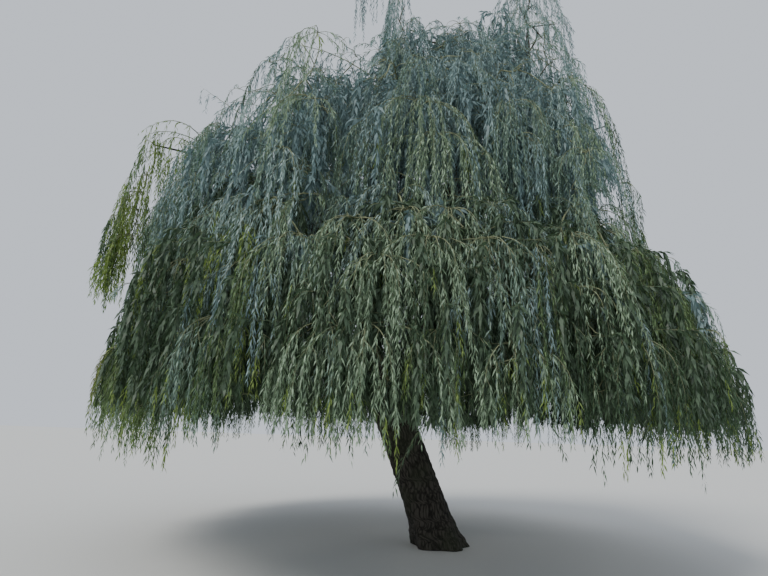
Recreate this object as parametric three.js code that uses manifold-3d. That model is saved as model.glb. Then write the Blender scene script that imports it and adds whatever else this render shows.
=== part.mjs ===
// A mature weeping willow: a leaning trunk, its main boughs and the hanging masses of foliage.
// Millimetres, +Z up. The origin is the middle of the flat cut under the trunk, at ground level.
// A bearing is an angle round the crown: 0 is the side towards -Y, 90 is +X, 180 is +Y.
import * as THREE from "three";
import { mergeVertices } from "three/addons/utils/BufferGeometryUtils.js";
import Module from "manifold-3d";

const wasm = await Module();
wasm.setup();

// Trunk: radii of the wood, and how far its middle line has leaned at the fork.
const TRUNK = {
  forkHeight: 2550,
  lean: new THREE.Vector2(-1020, 60),
  uprightFoot: 0.06, // share of the lean that is put off to the upper trunk
  footRadius: 470,
  waistRadius: 385,
  forkRadius: 362,
  flareHeight: 260,
  buttresses: 5,
  buttressDepth: 0.14,
  buttressTurn: 0.8, // radians
  unevenness: 0.03,
  crotchHeight: 190, // of the rounded top above the fork
  crotchStart: 300, // how far below the fork the top begins to round
  crotchRounding: 0.8,
  sides: 16,
  rings: 9,
};

// Limbs: the widest at the fork carry the top of the tree, and the rest spring from them.
const LEADER = { baseRadius: 200, tipRadius: 62, sides: 8, ringSpacing: 1050 };
const BOUGH = { baseRadius: 105, tipRadius: 38, sides: 5, ringSpacing: 700 };
const COLLAR = { length: 0.2, swell: 0.35 }; // at a limb's base, as shares of its length and radius
const TAPER = 0.85; // below 1 a limb thins faster near its base
const SWEEP = { leave: 0.38, arrive: 0.34 }; // how far a limb holds its first and last direction
const LEADER_ROOT = 400; // how far below the fork a leader's middle line begins
const LEADER_SPLAY = 0.75; // how far a leader leaves sideways for each step up
const LEADER_PULL = 0.6; // how far a bough leaves along its leader for each step away from it
const LEADER_SHARE = 0.8; // the thickest that a bough may be against its leader
const BOUGH_SIZES = [1.15, 0.8]; // from the first bough of a leader to the last

// Where a bough springs from a leader: shares of the leader's length, how far below its seat it
// is best, and what it costs to be too steep or too near another bough.
const SPRING = {
  first: 0.1,
  last: 0.9,
  step: 0.02,
  drop: 450,
  slope: 0.5,
  steepCost: 1.5,
  spacing: 420,
  crowdedCost: 1500,
};
const CLEARANCE = 0.3; // between neighbours that meet
const FOLIAGE_GAP = 20; // between two masses that would touch

// Crown: the line that its tiers stand round, which sits a little left of the trunk's foot.
const CROWN_AXIS = { skirt: [-600, 60], middle: [-620, 60], upper: [-200, 80] };

// The skirt reaches furthest and comes down to head height. One row for each mass:
// bearing, outermost reach, height of its crest, height of its hem.
const SKIRT = {
  axis: CROWN_AXIS.skirt,
  thickness: 900,
  rootReach: 2300,
  rootDrop: 800,
  crestReach: 0.7,
  hemReach: 0.975,
  masses: {
    skirt_front: [0, 5000, 5450, 1760],
    skirt_front_right: [42, 5030, 5550, 1830],
    skirt_right: [79, 5200, 5000, 1780],
    skirt_back_right: [119, 5080, 5450, 1720],
    skirt_back: [162, 4900, 5800, 1650],
    skirt_back_left: [202, 5000, 5350, 1680],
    skirt_left_back: [238, 5100, 5650, 1750],
    skirt_left: [277, 5100, 5400, 1760],
    skirt_front_left: [320, 5030, 6050, 1740],
  },
};

// The middle tier hangs in tall, steep curtains behind the crests of the skirt.
const MIDDLE = {
  axis: CROWN_AXIS.middle,
  thickness: 950,
  rootReach: 1550,
  rootDrop: 900,
  crestReach: 0.64,
  hemReach: 1,
  masses: {
    middle_front: [6, 3720, 8200, 4600],
    middle_right_front: [57, 3900, 8350, 4600],
    middle_right: [108, 4050, 8250, 4500],
    middle_back: [160, 4150, 8000, 4900],
    middle_back_left: [211, 4300, 7600, 4700],
    middle_left: [262, 4780, 7050, 4550],
    middle_left_front: [313, 4500, 7800, 4900],
  },
};

// The upper tier is narrow.
const UPPER = {
  axis: CROWN_AXIS.upper,
  thickness: 900,
  rootReach: 800,
  rootDrop: 850,
  crestReach: 0.6,
  hemReach: 1.03,
  masses: {
    upper_front: [352, 2450, 9260, 7350],
    upper_right: [68, 3200, 9450, 7300],
    upper_back_right: [140, 3050, 9700, 7200],
    upper_back_left: [212, 2800, 9500, 7100],
    upper_left: [281, 2950, 9000, 6850],
  },
};

// Tufts that hang all round a line: x and y of its top, radius, height of the crown, height of
// the hem, and how far the hem stands out from under the top, away from the crown's axis.
const TUFTS = {
  top_left_spire: [-950, 150, 410, 11450, 8800, 0],
  top_right_dome: [1750, 60, 980, 12050, 9250, 0],
  top_saddle: [320, -300, 760, 9950, 8650, 0],
  top_back: [400, 1350, 900, 10900, 9100, 0],
  strand_left: [-4890, -1750, 400, 6720, 3850, 400],
  strand_right: [3060, -400, 270, 8150, 4950, 340],
};
const LEADER_TUFTS = ["top_left_spire", "top_right_dome", "top_saddle", "top_back"];

// The middle line of a curtain between its hem and its root. One row for each station: how far
// out from the crest's reach to the full reach, how far up from the hem to the crest, and how
// many half thicknesses lower.
const STATIONS = [
  [1, 0.3, 0],
  [0.78, 0.62, 0],
  [0.42, 0.9, 1],
  [0, 1, 0.8],
];

// Facets of a mass, and how uneven it is.
const MASS_SIDES = 10;
const MASS_ROWS = 7;
const FOLD_DEPTH = 0.28; // of half a mass's thickness
const OVERSPILL = 1.12; // how far a mass would spread past its own sector
const HEM_RAG = 300;
const RAG_FADE = [0.15, 0.6]; // the shares of its rise over which a mass loses its ragged hem
const CREST_SAG = 420; // how far a crest droops towards its two sides
const HEM_WIDTH = 0.4; // how full a mass still is at its hem, squared
const CURTAIN_TAPER = { hem: 0.3, root: 0.3 }; // the shares of its length over which it narrows
const TUFT_TAPER = { hem: 0.2, root: 0.7 };
const TUFT_FOLD = { fold: 0.2, slack: 0.14 }; // of a tuft's radius
const SPIRAL = 5; // how far, in radians, the slack folds turn from hem to root
const SEAT_SHARE = 0.86; // where a bough enters, from hem to root
const LEADER_SEAT_SHARE = 0.35;
const CURTAIN_LIFT = 0.5; // how steeply a bough rises into a curtain
const TUFT_LIFT = -0.15;
const SHARPEST = 0.25; // least share of a corner's way out that moves a face out
const WELD = 0.01; // corners this close are one

const BARK = new THREE.MeshStandardMaterial({ color: 0x6a6052, roughness: 0.95, metalness: 0 });
const LEAF_TONES = [0x6f8a5a, 0x5f7d55, 0x7c9462].map(
  (color) => new THREE.MeshStandardMaterial({ color, roughness: 0.75, metalness: 0 }),
);

const { clamp, lerp, degToRad, radToDeg, smoothstep } = THREE.MathUtils;
const UP = new THREE.Vector3(0, 0, 1);

// A repeatable source of numbers from 0 to 1 for each name.
function seeded(name) {
  let state = [...name].reduce((sum, letter) => (sum * 31 + letter.charCodeAt(0)) >>> 0, 7);
  return () => {
    state = (state * 1664525 + 1013904223) >>> 0;
    return state / 2 ** 32;
  };
}

// A wavy function of an angle, from -1 to 1, that closes on itself.
function ripple(random, slowest, fastest) {
  const waves = [];
  for (let count = slowest; count <= fastest; count += 1) {
    waves.push({ count, phase: random() * 2 * Math.PI, size: 0.5 + random() });
  }
  const whole = waves.reduce((sum, wave) => sum + wave.size, 0);
  return (angle) =>
    waves.reduce((sum, w) => sum + w.size * Math.sin(w.count * angle + w.phase), 0) / whole;
}

// A closed shape with one vertex at each corner.
function welded(geometry) {
  const bare = geometry.clone();
  bare.deleteAttribute("normal");
  bare.deleteAttribute("uv");
  return mergeVertices(bare, WELD);
}

// Geometry to manifold solid and back.
function solidOf(geometry) {
  const closed = welded(geometry);
  const mesh = new wasm.Mesh({
    numProp: 3,
    vertProperties: closed.attributes.position.array,
    triVerts: new Uint32Array(closed.index.array),
  });
  return new wasm.Manifold(mesh);
}

// The same shape with every corner moved out until its faces have all moved by the distance.
function swell(geometry, distance) {
  const closed = welded(geometry);
  const { position } = closed.attributes;
  const corners = [];
  for (let i = 0; i < position.count; i += 1) {
    corners.push({ at: new THREE.Vector3().fromBufferAttribute(position, i), facings: [] });
  }
  const index = closed.index.array;
  for (let i = 0; i < index.length; i += 3) {
    const face = [corners[index[i]], corners[index[i + 1]], corners[index[i + 2]]];
    const triangle = new THREE.Triangle(...face.map((corner) => corner.at));
    const facing = triangle.getNormal(new THREE.Vector3());
    for (const corner of face) corner.facings.push(facing);
  }
  corners.forEach(({ at, facings }, i) => {
    const out = facings.reduce((sum, facing) => sum.add(facing), new THREE.Vector3()).normalize();
    const share = Math.min(...facings.map((facing) => out.dot(facing)));
    const moved = at.addScaledVector(out, distance / Math.max(share, SHARPEST));
    position.setXYZ(i, moved.x, moved.y, moved.z);
  });
  return closed;
}

function largest(solid) {
  return solid.decompose().sort((a, b) => b.volume() - a.volume())[0];
}

function geometryOf(solid) {
  const mesh = solid.getMesh();
  const geometry = new THREE.BufferGeometry();
  geometry.setAttribute("position", new THREE.BufferAttribute(mesh.vertProperties, 3));
  geometry.setIndex(new THREE.BufferAttribute(mesh.triVerts, 1));
  geometry.computeVertexNormals();
  return geometry;
}

// Moves the vertices of a shape to where place(vertex, turn, rise) says. The turn round the
// shape and the rise up it are from 0 to 1, as its texture coordinates give them.
function reshape(geometry, place) {
  const { position, uv } = geometry.attributes;
  for (let i = 0; i < position.count; i += 1) {
    const vertex = new THREE.Vector3().fromBufferAttribute(position, i);
    const spot = place(vertex, uv.getX(i), uv.getY(i));
    position.setXYZ(i, spot.x, spot.y, spot.z);
  }
  return geometry;
}

// A round limb along a curve, with a collar where it springs from its parent.
function limbGeometry({ curve, baseRadius, tipRadius, sides, ringSpacing }) {
  const steps = Math.max(2, Math.round(curve.getLength() / ringSpacing));
  const frames = curve.computeFrenetFrames(steps);
  const cylinder = new THREE.CylinderGeometry(1, 1, 1, sides, steps);
  return reshape(cylinder, (rim) => {
    const along = rim.y + 0.5;
    const row = Math.round(along * steps);
    const collar = 1 + COLLAR.swell * Math.max(0, 1 - along / COLLAR.length) ** 2;
    const radius = lerp(baseRadius, tipRadius, along ** TAPER) * collar * Math.hypot(rim.x, rim.z);
    const angle = Math.atan2(rim.x, rim.z);
    return curve
      .getPointAt(along)
      .addScaledVector(frames.normals[row], radius * Math.cos(angle))
      .addScaledVector(frames.binormals[row], radius * Math.sin(angle));
  });
}

// The middle of the trunk at a height.
function trunkCentre(height) {
  const share = height / TRUNK.forkHeight;
  const leaned = lerp(share, share * share, TRUNK.uprightFoot);
  return new THREE.Vector3(TRUNK.lean.x * leaned, TRUNK.lean.y * leaned, height);
}

function trunkGeometry() {
  const cylinder = new THREE.CylinderGeometry(1, 1, 1, TRUNK.sides, TRUNK.rings);
  const sway = ripple(seeded("trunk"), 2, 4);
  const top = TRUNK.forkHeight + TRUNK.crotchHeight;
  return reshape(cylinder, (rim) => {
    const height = (rim.y + 0.5) * top;
    const angle = Math.atan2(rim.z, rim.x);
    const foot = Math.exp(-height / TRUNK.flareHeight);
    const plain = lerp(TRUNK.waistRadius, TRUNK.forkRadius, height / TRUNK.forkHeight);
    const buttress = TRUNK.buttressDepth * Math.cos(TRUNK.buttresses * angle + TRUNK.buttressTurn);
    const flared = lerp(plain, TRUNK.footRadius, foot) * (1 + buttress * foot);
    const rounded = smoothstep(height, TRUNK.forkHeight - TRUNK.crotchStart, top);
    const dome = Math.sqrt(1 - TRUNK.crotchRounding * rounded);
    const rough = 1 + TRUNK.unevenness * sway(angle);
    const radius = flared * dome * rough * Math.hypot(rim.x, rim.z);
    return trunkCentre(height).add(
      new THREE.Vector3(radius * Math.cos(angle), -radius * Math.sin(angle), 0),
    );
  });
}

// How full a mass is at a share of the way from its hem to its root: nothing at both ends.
function fullness(share, taper) {
  const hem = Math.sqrt(Math.min(1, share / taper.hem + HEM_WIDTH));
  const root = Math.sqrt(clamp((1 - share) / taper.root, 0, 1));
  return share <= 0 ? 0 : hem * root;
}

// A flattened ring: its two coordinates at an angle, each from -1 to 1.
function squaredRing(angle) {
  const soften = (value) => Math.sign(value) * Math.sqrt(Math.abs(value));
  return [soften(Math.cos(angle)), soften(Math.sin(angle))];
}

// A place round the crown.
function around([x, y], bearing, reach, height) {
  const turned = degToRad(bearing);
  return new THREE.Vector3(x + reach * Math.sin(turned), y - reach * Math.cos(turned), height);
}

// The seeded folds of a mass, by the angle round it, and how far its hem is lifted.
function foldsOf(name) {
  const random = seeded(name);
  const fold = ripple(random, 2, 5);
  const slack = ripple(random, 1, 4);
  const rag = ripple(random, 3, 6);
  const hemLift = (angle, rise) =>
    HEM_RAG * (0.5 + 0.5 * rag(angle)) * (1 - smoothstep(rise, ...RAG_FADE));
  return { fold, slack, hemLift };
}

// How far a mass may spread to either side: half way to its neighbours.
function sectorOf(tier, bearing) {
  const all = Object.values(tier.masses).map(([other]) => other);
  const others = all.filter((other) => other !== bearing);
  const turns = others.map((other) => (other - bearing + 360) % 360);
  const gap = radToDeg(FOLIAGE_GAP / 2 / tier.rootReach);
  return { before: (360 - Math.max(...turns)) / 2 - gap, after: Math.min(...turns) / 2 - gap };
}

// One mass of a tier: a curtain that springs from a root inside the crown, arches over its
// crest and hangs to a ragged hem, curved round the crown's axis.
function curtain(name, tier, [bearing, reach, crest, hem]) {
  const { fold, slack, hemLift } = foldsOf(name);
  const half = tier.thickness / 2;
  const sector = sectorOf(tier, bearing);
  const outTo = (share) => reach * lerp(tier.crestReach, 1, share) - half;
  const spine = new THREE.SplineCurve([
    new THREE.Vector2(reach * tier.hemReach - half, hem),
    ...STATIONS.map(
      ([out, up, lower]) => new THREE.Vector2(outTo(out), lerp(hem, crest, up) - half * lower),
    ),
    new THREE.Vector2(tier.rootReach, crest - tier.rootDrop),
  ]);
  const place = (vertex, turn, rise) => {
    const angle = -turn * 2 * Math.PI;
    const [across, outward] = squaredRing(angle);
    const along = smoothstep(rise, 0, 1);
    const full = fullness(along, CURTAIN_TAPER);
    const middle = spine.getPoint(along);
    const forward = spine.getTangent(along);
    const uneven = 1 + FOLD_DEPTH * (fold(angle) + 0.7 * slack(angle + SPIRAL * rise));
    const offset = half * full * outward * uneven;
    const spread = OVERSPILL * across * full ** 0.3 * (1 + 0.06 * slack(angle));
    const wide = across > 0 ? sector.after : sector.before;
    const ragged = full > 0 ? hemLift(angle, rise) : 0;
    const sag = CREST_SAG * full * across * across * smoothstep(along, 0.35, 0.85);
    return around(
      tier.axis,
      bearing + wide * clamp(spread, -1, 1),
      middle.x + forward.y * offset,
      middle.y - forward.x * offset + ragged - sag,
    );
  };
  const seat = spine.getPoint(SEAT_SHARE);
  return {
    shape: reshape(new THREE.SphereGeometry(1, MASS_SIDES, MASS_ROWS), place),
    seat: around(tier.axis, bearing, seat.x, seat.y),
    lift: CURTAIN_LIFT,
  };
}

// A mass that hangs evenly round one line, from a domed crown to a ragged hem.
function tuft(name, [x, y, radius, top, hem, stray]) {
  const { fold, slack, hemLift } = foldsOf(name);
  const [axisX, axisY] = CROWN_AXIS.middle;
  const out = new THREE.Vector3(x - axisX, y - axisY, 0).normalize();
  const place = (vertex, turn, rise) => {
    const angle = turn * 2 * Math.PI;
    const along = lerp(rise, smoothstep(rise, 0, 1), 0.6);
    const full = fullness(along, TUFT_TAPER) ** 0.8;
    const slackness = slack(angle + SPIRAL * rise);
    const uneven = 1 + TUFT_FOLD.fold * fold(angle) + TUFT_FOLD.slack * slackness;
    const ragged = full > 0 ? hemLift(angle, rise) : 0;
    return new THREE.Vector3(
      x + radius * full * uneven * Math.cos(angle),
      y + radius * full * uneven * Math.sin(angle),
      lerp(hem, top, along) + ragged,
    ).addScaledVector(out, stray * (1 - along));
  };
  const seat = new THREE.Vector3(x, y, lerp(hem, top, SEAT_SHARE));
  return {
    shape: reshape(new THREE.SphereGeometry(1, MASS_SIDES, MASS_ROWS), place),
    seat: seat.addScaledVector(out, stray * (1 - SEAT_SHARE)),
    lift: TUFT_LIFT,
  };
}

// A limb from a place on its parent to its seat in a mass.
function limbTo(start, leave, end, arrive, sizes) {
  const reach = start.distanceTo(end);
  const curve = new THREE.CubicBezierCurve3(
    start,
    start.clone().addScaledVector(leave.clone().normalize(), reach * SWEEP.leave),
    end.clone().addScaledVector(arrive.clone().normalize(), -reach * SWEEP.arrive),
    end,
  );
  return { curve, shape: limbGeometry({ curve, ...sizes }) };
}

// The leaders leave the trunk below its fork, each towards its own tuft at the top of the tree.
function leaderTo(name) {
  const [x, y, , top, hem] = TUFTS[name];
  const start = trunkCentre(TRUNK.forkHeight - LEADER_ROOT);
  const end = new THREE.Vector3(x, y, lerp(hem, top, LEADER_SEAT_SHARE));
  const sideways = new THREE.Vector3(x - start.x, y - start.y, 0);
  const leave = sideways.normalize().multiplyScalar(LEADER_SPLAY).add(UP);
  return { name: name.replace("top", "leader"), ...limbTo(start, leave, end, UP, LEADER) };
}

// The place on a leader from which a bough rises best to its seat: near, below it and not crowded.
function springTo(seat, leaders, taken) {
  let best = { cost: Infinity };
  for (const leader of leaders) {
    for (let share = SPRING.first; share < SPRING.last; share += SPRING.step) {
      const spot = leader.curve.getPointAt(share);
      const flat = Math.hypot(spot.x - seat.x, spot.y - seat.y);
      const steep = Math.abs(seat.z - spot.z - SPRING.drop - SPRING.slope * flat);
      const crowded = taken.filter((other) => other.distanceTo(spot) < SPRING.spacing).length;
      const cost = flat + SPRING.steepCost * steep + SPRING.crowdedCost * crowded;
      if (cost < best.cost) best = { cost, spot, leader, share };
    }
  }
  return best;
}

function boughTo(name, { seat, lift }, { spot, leader, share }) {
  const away = seat.clone().sub(spot).setZ(0).normalize();
  const leave = away.clone().addScaledVector(leader.curve.getTangentAt(share), LEADER_PULL);
  const arrive = away.clone().setZ(lift);
  const leaderRadius = lerp(LEADER.baseRadius, LEADER.tipRadius, share);
  const usual = BOUGH.baseRadius * lerp(...BOUGH_SIZES, share);
  const baseRadius = Math.min(usual, leaderRadius * LEADER_SHARE);
  return { name: `bough_${name}`, ...limbTo(spot, leave, seat, arrive, { ...BOUGH, baseRadius }) };
}

const masses = new Map();
for (const tier of [SKIRT, MIDDLE, UPPER]) {
  for (const [name, sizes] of Object.entries(tier.masses)) {
    masses.set(name, curtain(name, tier, sizes));
  }
}
for (const [name, sizes] of Object.entries(TUFTS)) {
  masses.set(name, tuft(name, sizes));
}

const trunk = { name: "trunk", shape: trunkGeometry() };
const leaders = LEADER_TUFTS.map(leaderTo);
const boughs = [];
const taken = [];
for (const [name, mass] of masses) {
  if (LEADER_TUFTS.includes(name)) continue;
  const spring = springTo(mass.seat, leaders, taken);
  taken.push(spring.spot);
  boughs.push(boughTo(name, mass, spring));
}

// Wood: each limb is cut back to the face of the trunk and of the limbs before it.
const wood = [];
for (const { name, shape } of [trunk, ...leaders, ...boughs]) {
  let solid = solidOf(shape);
  for (const before of wood) solid = solid.subtract(before.swollen);
  wood.push({ name, solid: largest(solid), swollen: solidOf(swell(shape, CLEARANCE)) });
}

// Foliage: each mass is cut round the wood that runs into it, and stands clear of those before it.
const allWood = wood.map(({ swollen }) => swollen).reduce((sum, limb) => sum.add(limb));
const foliage = [];
for (const [name, { shape }] of masses) {
  let solid = solidOf(shape);
  for (const before of foliage) solid = solid.subtract(before.swollen);
  solid = largest(solid.subtract(allWood));
  foliage.push({ name, solid, swollen: solidOf(swell(shape, FOLIAGE_GAP)) });
}

const tree = new THREE.Group();
for (const { name, solid } of wood) {
  const mesh = new THREE.Mesh(geometryOf(solid), BARK);
  mesh.name = name;
  tree.add(mesh);
}
foliage.forEach(({ name, solid }, i) => {
  const mesh = new THREE.Mesh(geometryOf(solid), LEAF_TONES[i % LEAF_TONES.length]);
  mesh.name = name;
  tree.add(mesh);
});

export default tree;
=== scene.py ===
"""A weeping willow in full summer leaf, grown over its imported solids.

The trunk, leaders and boughs get meshes with furrowed bark. Each mass of foliage is replaced by
branches that grow on from the tip of its limb, arched sprays at their ends, long hanging whips
and narrow leaves. Everything random comes from seeds, so the tree is the same each time.
"""

import logging
import math
from dataclasses import dataclass, field
from enum import Enum

import bmesh
import bpy
import numpy as np
from mathutils import Matrix, Vector, noise
from mathutils.bvhtree import BVHTree


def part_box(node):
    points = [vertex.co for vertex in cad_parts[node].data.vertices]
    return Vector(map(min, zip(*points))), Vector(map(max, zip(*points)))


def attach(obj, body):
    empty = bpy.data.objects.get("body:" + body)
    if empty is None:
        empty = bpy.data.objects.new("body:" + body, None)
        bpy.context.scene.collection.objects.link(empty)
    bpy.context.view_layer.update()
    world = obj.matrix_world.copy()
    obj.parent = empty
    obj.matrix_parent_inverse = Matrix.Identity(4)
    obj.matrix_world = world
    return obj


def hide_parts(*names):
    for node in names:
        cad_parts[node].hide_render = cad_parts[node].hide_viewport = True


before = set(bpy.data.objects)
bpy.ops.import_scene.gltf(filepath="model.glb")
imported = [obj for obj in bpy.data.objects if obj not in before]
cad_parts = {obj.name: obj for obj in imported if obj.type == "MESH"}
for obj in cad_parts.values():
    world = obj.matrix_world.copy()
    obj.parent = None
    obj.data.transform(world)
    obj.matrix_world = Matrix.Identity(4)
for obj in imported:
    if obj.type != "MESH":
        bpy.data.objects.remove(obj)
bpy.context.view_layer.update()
ROOT = "root"
UP = np.array([0.0, 0.0, 1.0])
DOWN = -UP
EYE = np.array([-1.085, -10.5, 2.04])  # where the viewer stands
MAX_TRIANGLES = 195_000
ARCH_STEPS = 5
ARCH_FALL = -1.4  # how steeply an arch ends, in radians
WHIP_STEP = 0.6  # how far apart the points of a hanging whip are
LOG = logging.getLogger("willow")

Colour = tuple[float, float, float, float]


# Shader tools


@dataclass(frozen=True)
class Wire:
    """An output socket that can be used in a Python expression.

    Args:
        graph: The graph that the socket belongs to.
        socket: The output socket.
    """

    graph: "Graph"
    socket: bpy.types.NodeSocket

    def _math(self, operation: str, left: "Wire | float", right: "Wire | float") -> "Wire":
        """Adds one Math node and returns its result."""
        node = self.graph.add("ShaderNodeMath", {"operation": operation}, {0: left, 1: right})
        return Wire(self.graph, node.outputs[0])

    def __radd__(self, other: float) -> "Wire":
        """Adds this to a number."""
        return self._math("ADD", other, self)

    def __rsub__(self, other: float) -> "Wire":
        """Takes this away from a number."""
        return self._math("SUBTRACT", other, self)

    def __mul__(self, other: "Wire | float") -> "Wire":
        """Multiplies."""
        return self._math("MULTIPLY", self, other)

    def __rmul__(self, other: float) -> "Wire":
        """Multiplies, from the right."""
        return self._math("MULTIPLY", other, self)


class Graph:
    """The node graph of one material.

    Args:
        name: The material's name.
    """

    def __init__(self, name: str) -> None:
        """Starts an empty graph."""
        self.material = bpy.data.materials.new(name)
        self.material.use_nodes = True
        self.tree = self.material.node_tree
        self.tree.nodes.clear()

    def add(
        self,
        kind: str,
        settings: dict[str, object] | None = None,
        sockets: dict[str | int, object] | None = None,
    ) -> bpy.types.Node:
        """Adds a node.

        Args:
            kind: The node's type name.
            settings: Attributes, set first.
            sockets: Values or wires, by the input's number, name or identifier.

        Returns:
            The new node.
        """
        node = self.tree.nodes.new(kind)
        for key, value in (settings or {}).items():
            setattr(node, key, value)
        for key, value in (sockets or {}).items():
            target = self._input(node, key)
            if isinstance(value, Wire):
                self.tree.links.new(value.socket, target)
            else:
                target.default_value = value
        return node

    @staticmethod
    def _input(node: bpy.types.Node, key: str | int) -> bpy.types.NodeSocket:
        """Finds an input by number, identifier or name."""
        if isinstance(key, int):
            return node.inputs[key]
        for socket in node.inputs:
            if socket.identifier == key:
                return socket
        return node.inputs[key]

    def place(self, scale: tuple[float, float, float] = (1.0, 1.0, 1.0)) -> Wire:
        """Object coordinates, scaled."""
        where = self.add("ShaderNodeTexCoord")
        mapping = self.add(
            "ShaderNodeMapping",
            sockets={"Vector": Wire(self, where.outputs["Object"]), "Scale": scale},
        )
        return Wire(self, mapping.outputs["Vector"])

    def speckle(self, vector: Wire, scale: float, detail: float = 3.0) -> Wire:
        """Noise from 0 to 1."""
        sockets = {"Vector": vector, "Scale": scale, "Detail": detail}
        return Wire(self, self.add("ShaderNodeTexNoise", None, sockets).outputs[0])

    def ramp(self, factor: Wire, low: float, high: float) -> Wire:
        """Spreads a factor so that low gives 0 and high gives 1."""
        settings = {"clamp": True, "interpolation_type": "SMOOTHSTEP"}
        sockets = {"Value": factor, "From Min": low, "From Max": high}
        return Wire(self, self.add("ShaderNodeMapRange", settings, sockets).outputs[0])

    def blend(self, factor: Wire, first: "Wire | Colour", second: "Wire | Colour") -> Wire:
        """Mixes two colours."""
        sockets = {"Factor_Float": factor, "A_Color": first, "B_Color": second}
        node = self.add("ShaderNodeMix", {"data_type": "RGBA"}, sockets)
        return Wire(self, node.outputs[2])

    def bump(self, height: Wire, distance: float, strength: float) -> Wire:
        """A surface normal from a height."""
        sockets = {"Height": height, "Distance": distance, "Strength": strength}
        return Wire(self, self.add("ShaderNodeBump", None, sockets).outputs[0])

    def principled(self, sockets: dict[str | int, object]) -> bpy.types.Node:
        """The plain surface shader."""
        return self.add("ShaderNodeBsdfPrincipled", None, sockets)

    def finish(self, surface: bpy.types.Node) -> bpy.types.Material:
        """Joins the last shader to the output and returns the material."""
        output = self.add("ShaderNodeOutputMaterial")
        self.tree.links.new(surface.outputs[0], output.inputs["Surface"])
        return self.material


# Finishes


@dataclass(frozen=True)
class Finish:
    """What a material is made from.

    Args:
        name: The material's name.
        colour: The main colour.
    """

    name: str
    colour: Colour

    def make(self) -> bpy.types.Material:
        """Builds the material.

        Returns:
            The new material.
        """
        graph = Graph(self.name)
        return graph.finish(self.surface(graph))

    def surface(self, graph: Graph) -> bpy.types.Node:
        """A plain matt surface, unless a finish has one of its own."""
        return graph.principled({"Base Color": self.colour, "Roughness": 0.9})


@dataclass(frozen=True)
class BarkFinish(Finish):
    """Furrowed bark: pale ridges over dark cracks, with moss in patches.

    Args:
        crack: Colour in the furrows.
        moss: Colour of the green patches.
        mossiness: How much moss there is, from 0 to 1.
    """

    crack: Colour
    moss: Colour
    mossiness: float

    def surface(self, graph: Graph) -> bpy.types.Node:
        """Dark furrows, worn ridges in the main colour, grain and moss."""
        relief = graph.add("ShaderNodeAttribute", {"attribute_name": Relief.ATTRIBUTE})
        height = Wire(graph, relief.outputs["Fac"])
        patches = graph.speckle(graph.place(), 1.7)
        grain = graph.speckle(graph.place((1.0, 1.0, 0.22)), 55.0, 4.0)
        wood = graph.blend(graph.ramp(height, 0.1, 0.85), self.crack, self.colour)
        worn = graph.blend(graph.ramp(grain, 0.45, 0.75) * 0.35, wood, self.colour)
        green = graph.ramp(patches, 0.42, 0.7) * self.mossiness
        sockets = {
            "Base Color": graph.blend(green, worn, self.moss),
            "Roughness": 0.95 - 0.12 * graph.ramp(height, 0.3, 1.0),
            "Normal": graph.bump(grain, 0.006, 0.55),
            "Specular IOR Level": 0.25,
        }
        return graph.principled(sockets)


@dataclass(frozen=True)
class TwigFinish(Finish):
    """Smooth young bark, a little mottled.

    Args:
        shade: The darker colour of the mottling.
    """

    shade: Colour

    def surface(self, graph: Graph) -> bpy.types.Node:
        """Mottled, with a fine grain along the twig."""
        mottle = graph.speckle(graph.place(), 14.0)
        fine = graph.speckle(graph.place((1.0, 1.0, 0.3)), 120.0)
        sockets = {
            "Base Color": graph.blend(graph.ramp(mottle, 0.35, 0.65), self.shade, self.colour),
            "Roughness": 0.55 + 0.25 * mottle,
            "Normal": graph.bump(fine, 0.001, 0.4),
        }
        return graph.principled(sockets)


@dataclass(frozen=True)
class LeafFinish(Finish):
    """A thin leaf that lets some light through.

    Args:
        shade: The colour that it drifts to over some centimetres.
        glow: The colour of the light that comes through.
        thinness: The share of the light that comes through.
        roughness: How matt the blade is.
    """

    shade: Colour
    glow: Colour
    thinness: float = 0.3
    roughness: float = 0.42

    def surface(self, graph: Graph) -> bpy.types.Node:
        """A blade that drifts between its colours, mixed with light from behind."""
        drift = graph.ramp(graph.speckle(graph.place(), 15.0, 2.0), 0.38, 0.62)
        sockets = {
            "Base Color": graph.blend(drift, self.shade, self.colour),
            "Roughness": self.roughness + 0.15 * drift,
            "Specular IOR Level": 0.4,
        }
        blade = Wire(graph, graph.principled(sockets).outputs[0])
        through = graph.add("ShaderNodeBsdfTranslucent", None, {"Color": self.glow})
        shaders = {0: self.thinness, 1: blade, 2: Wire(graph, through.outputs[0])}
        return graph.add("ShaderNodeMixShader", None, shaders)


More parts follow.
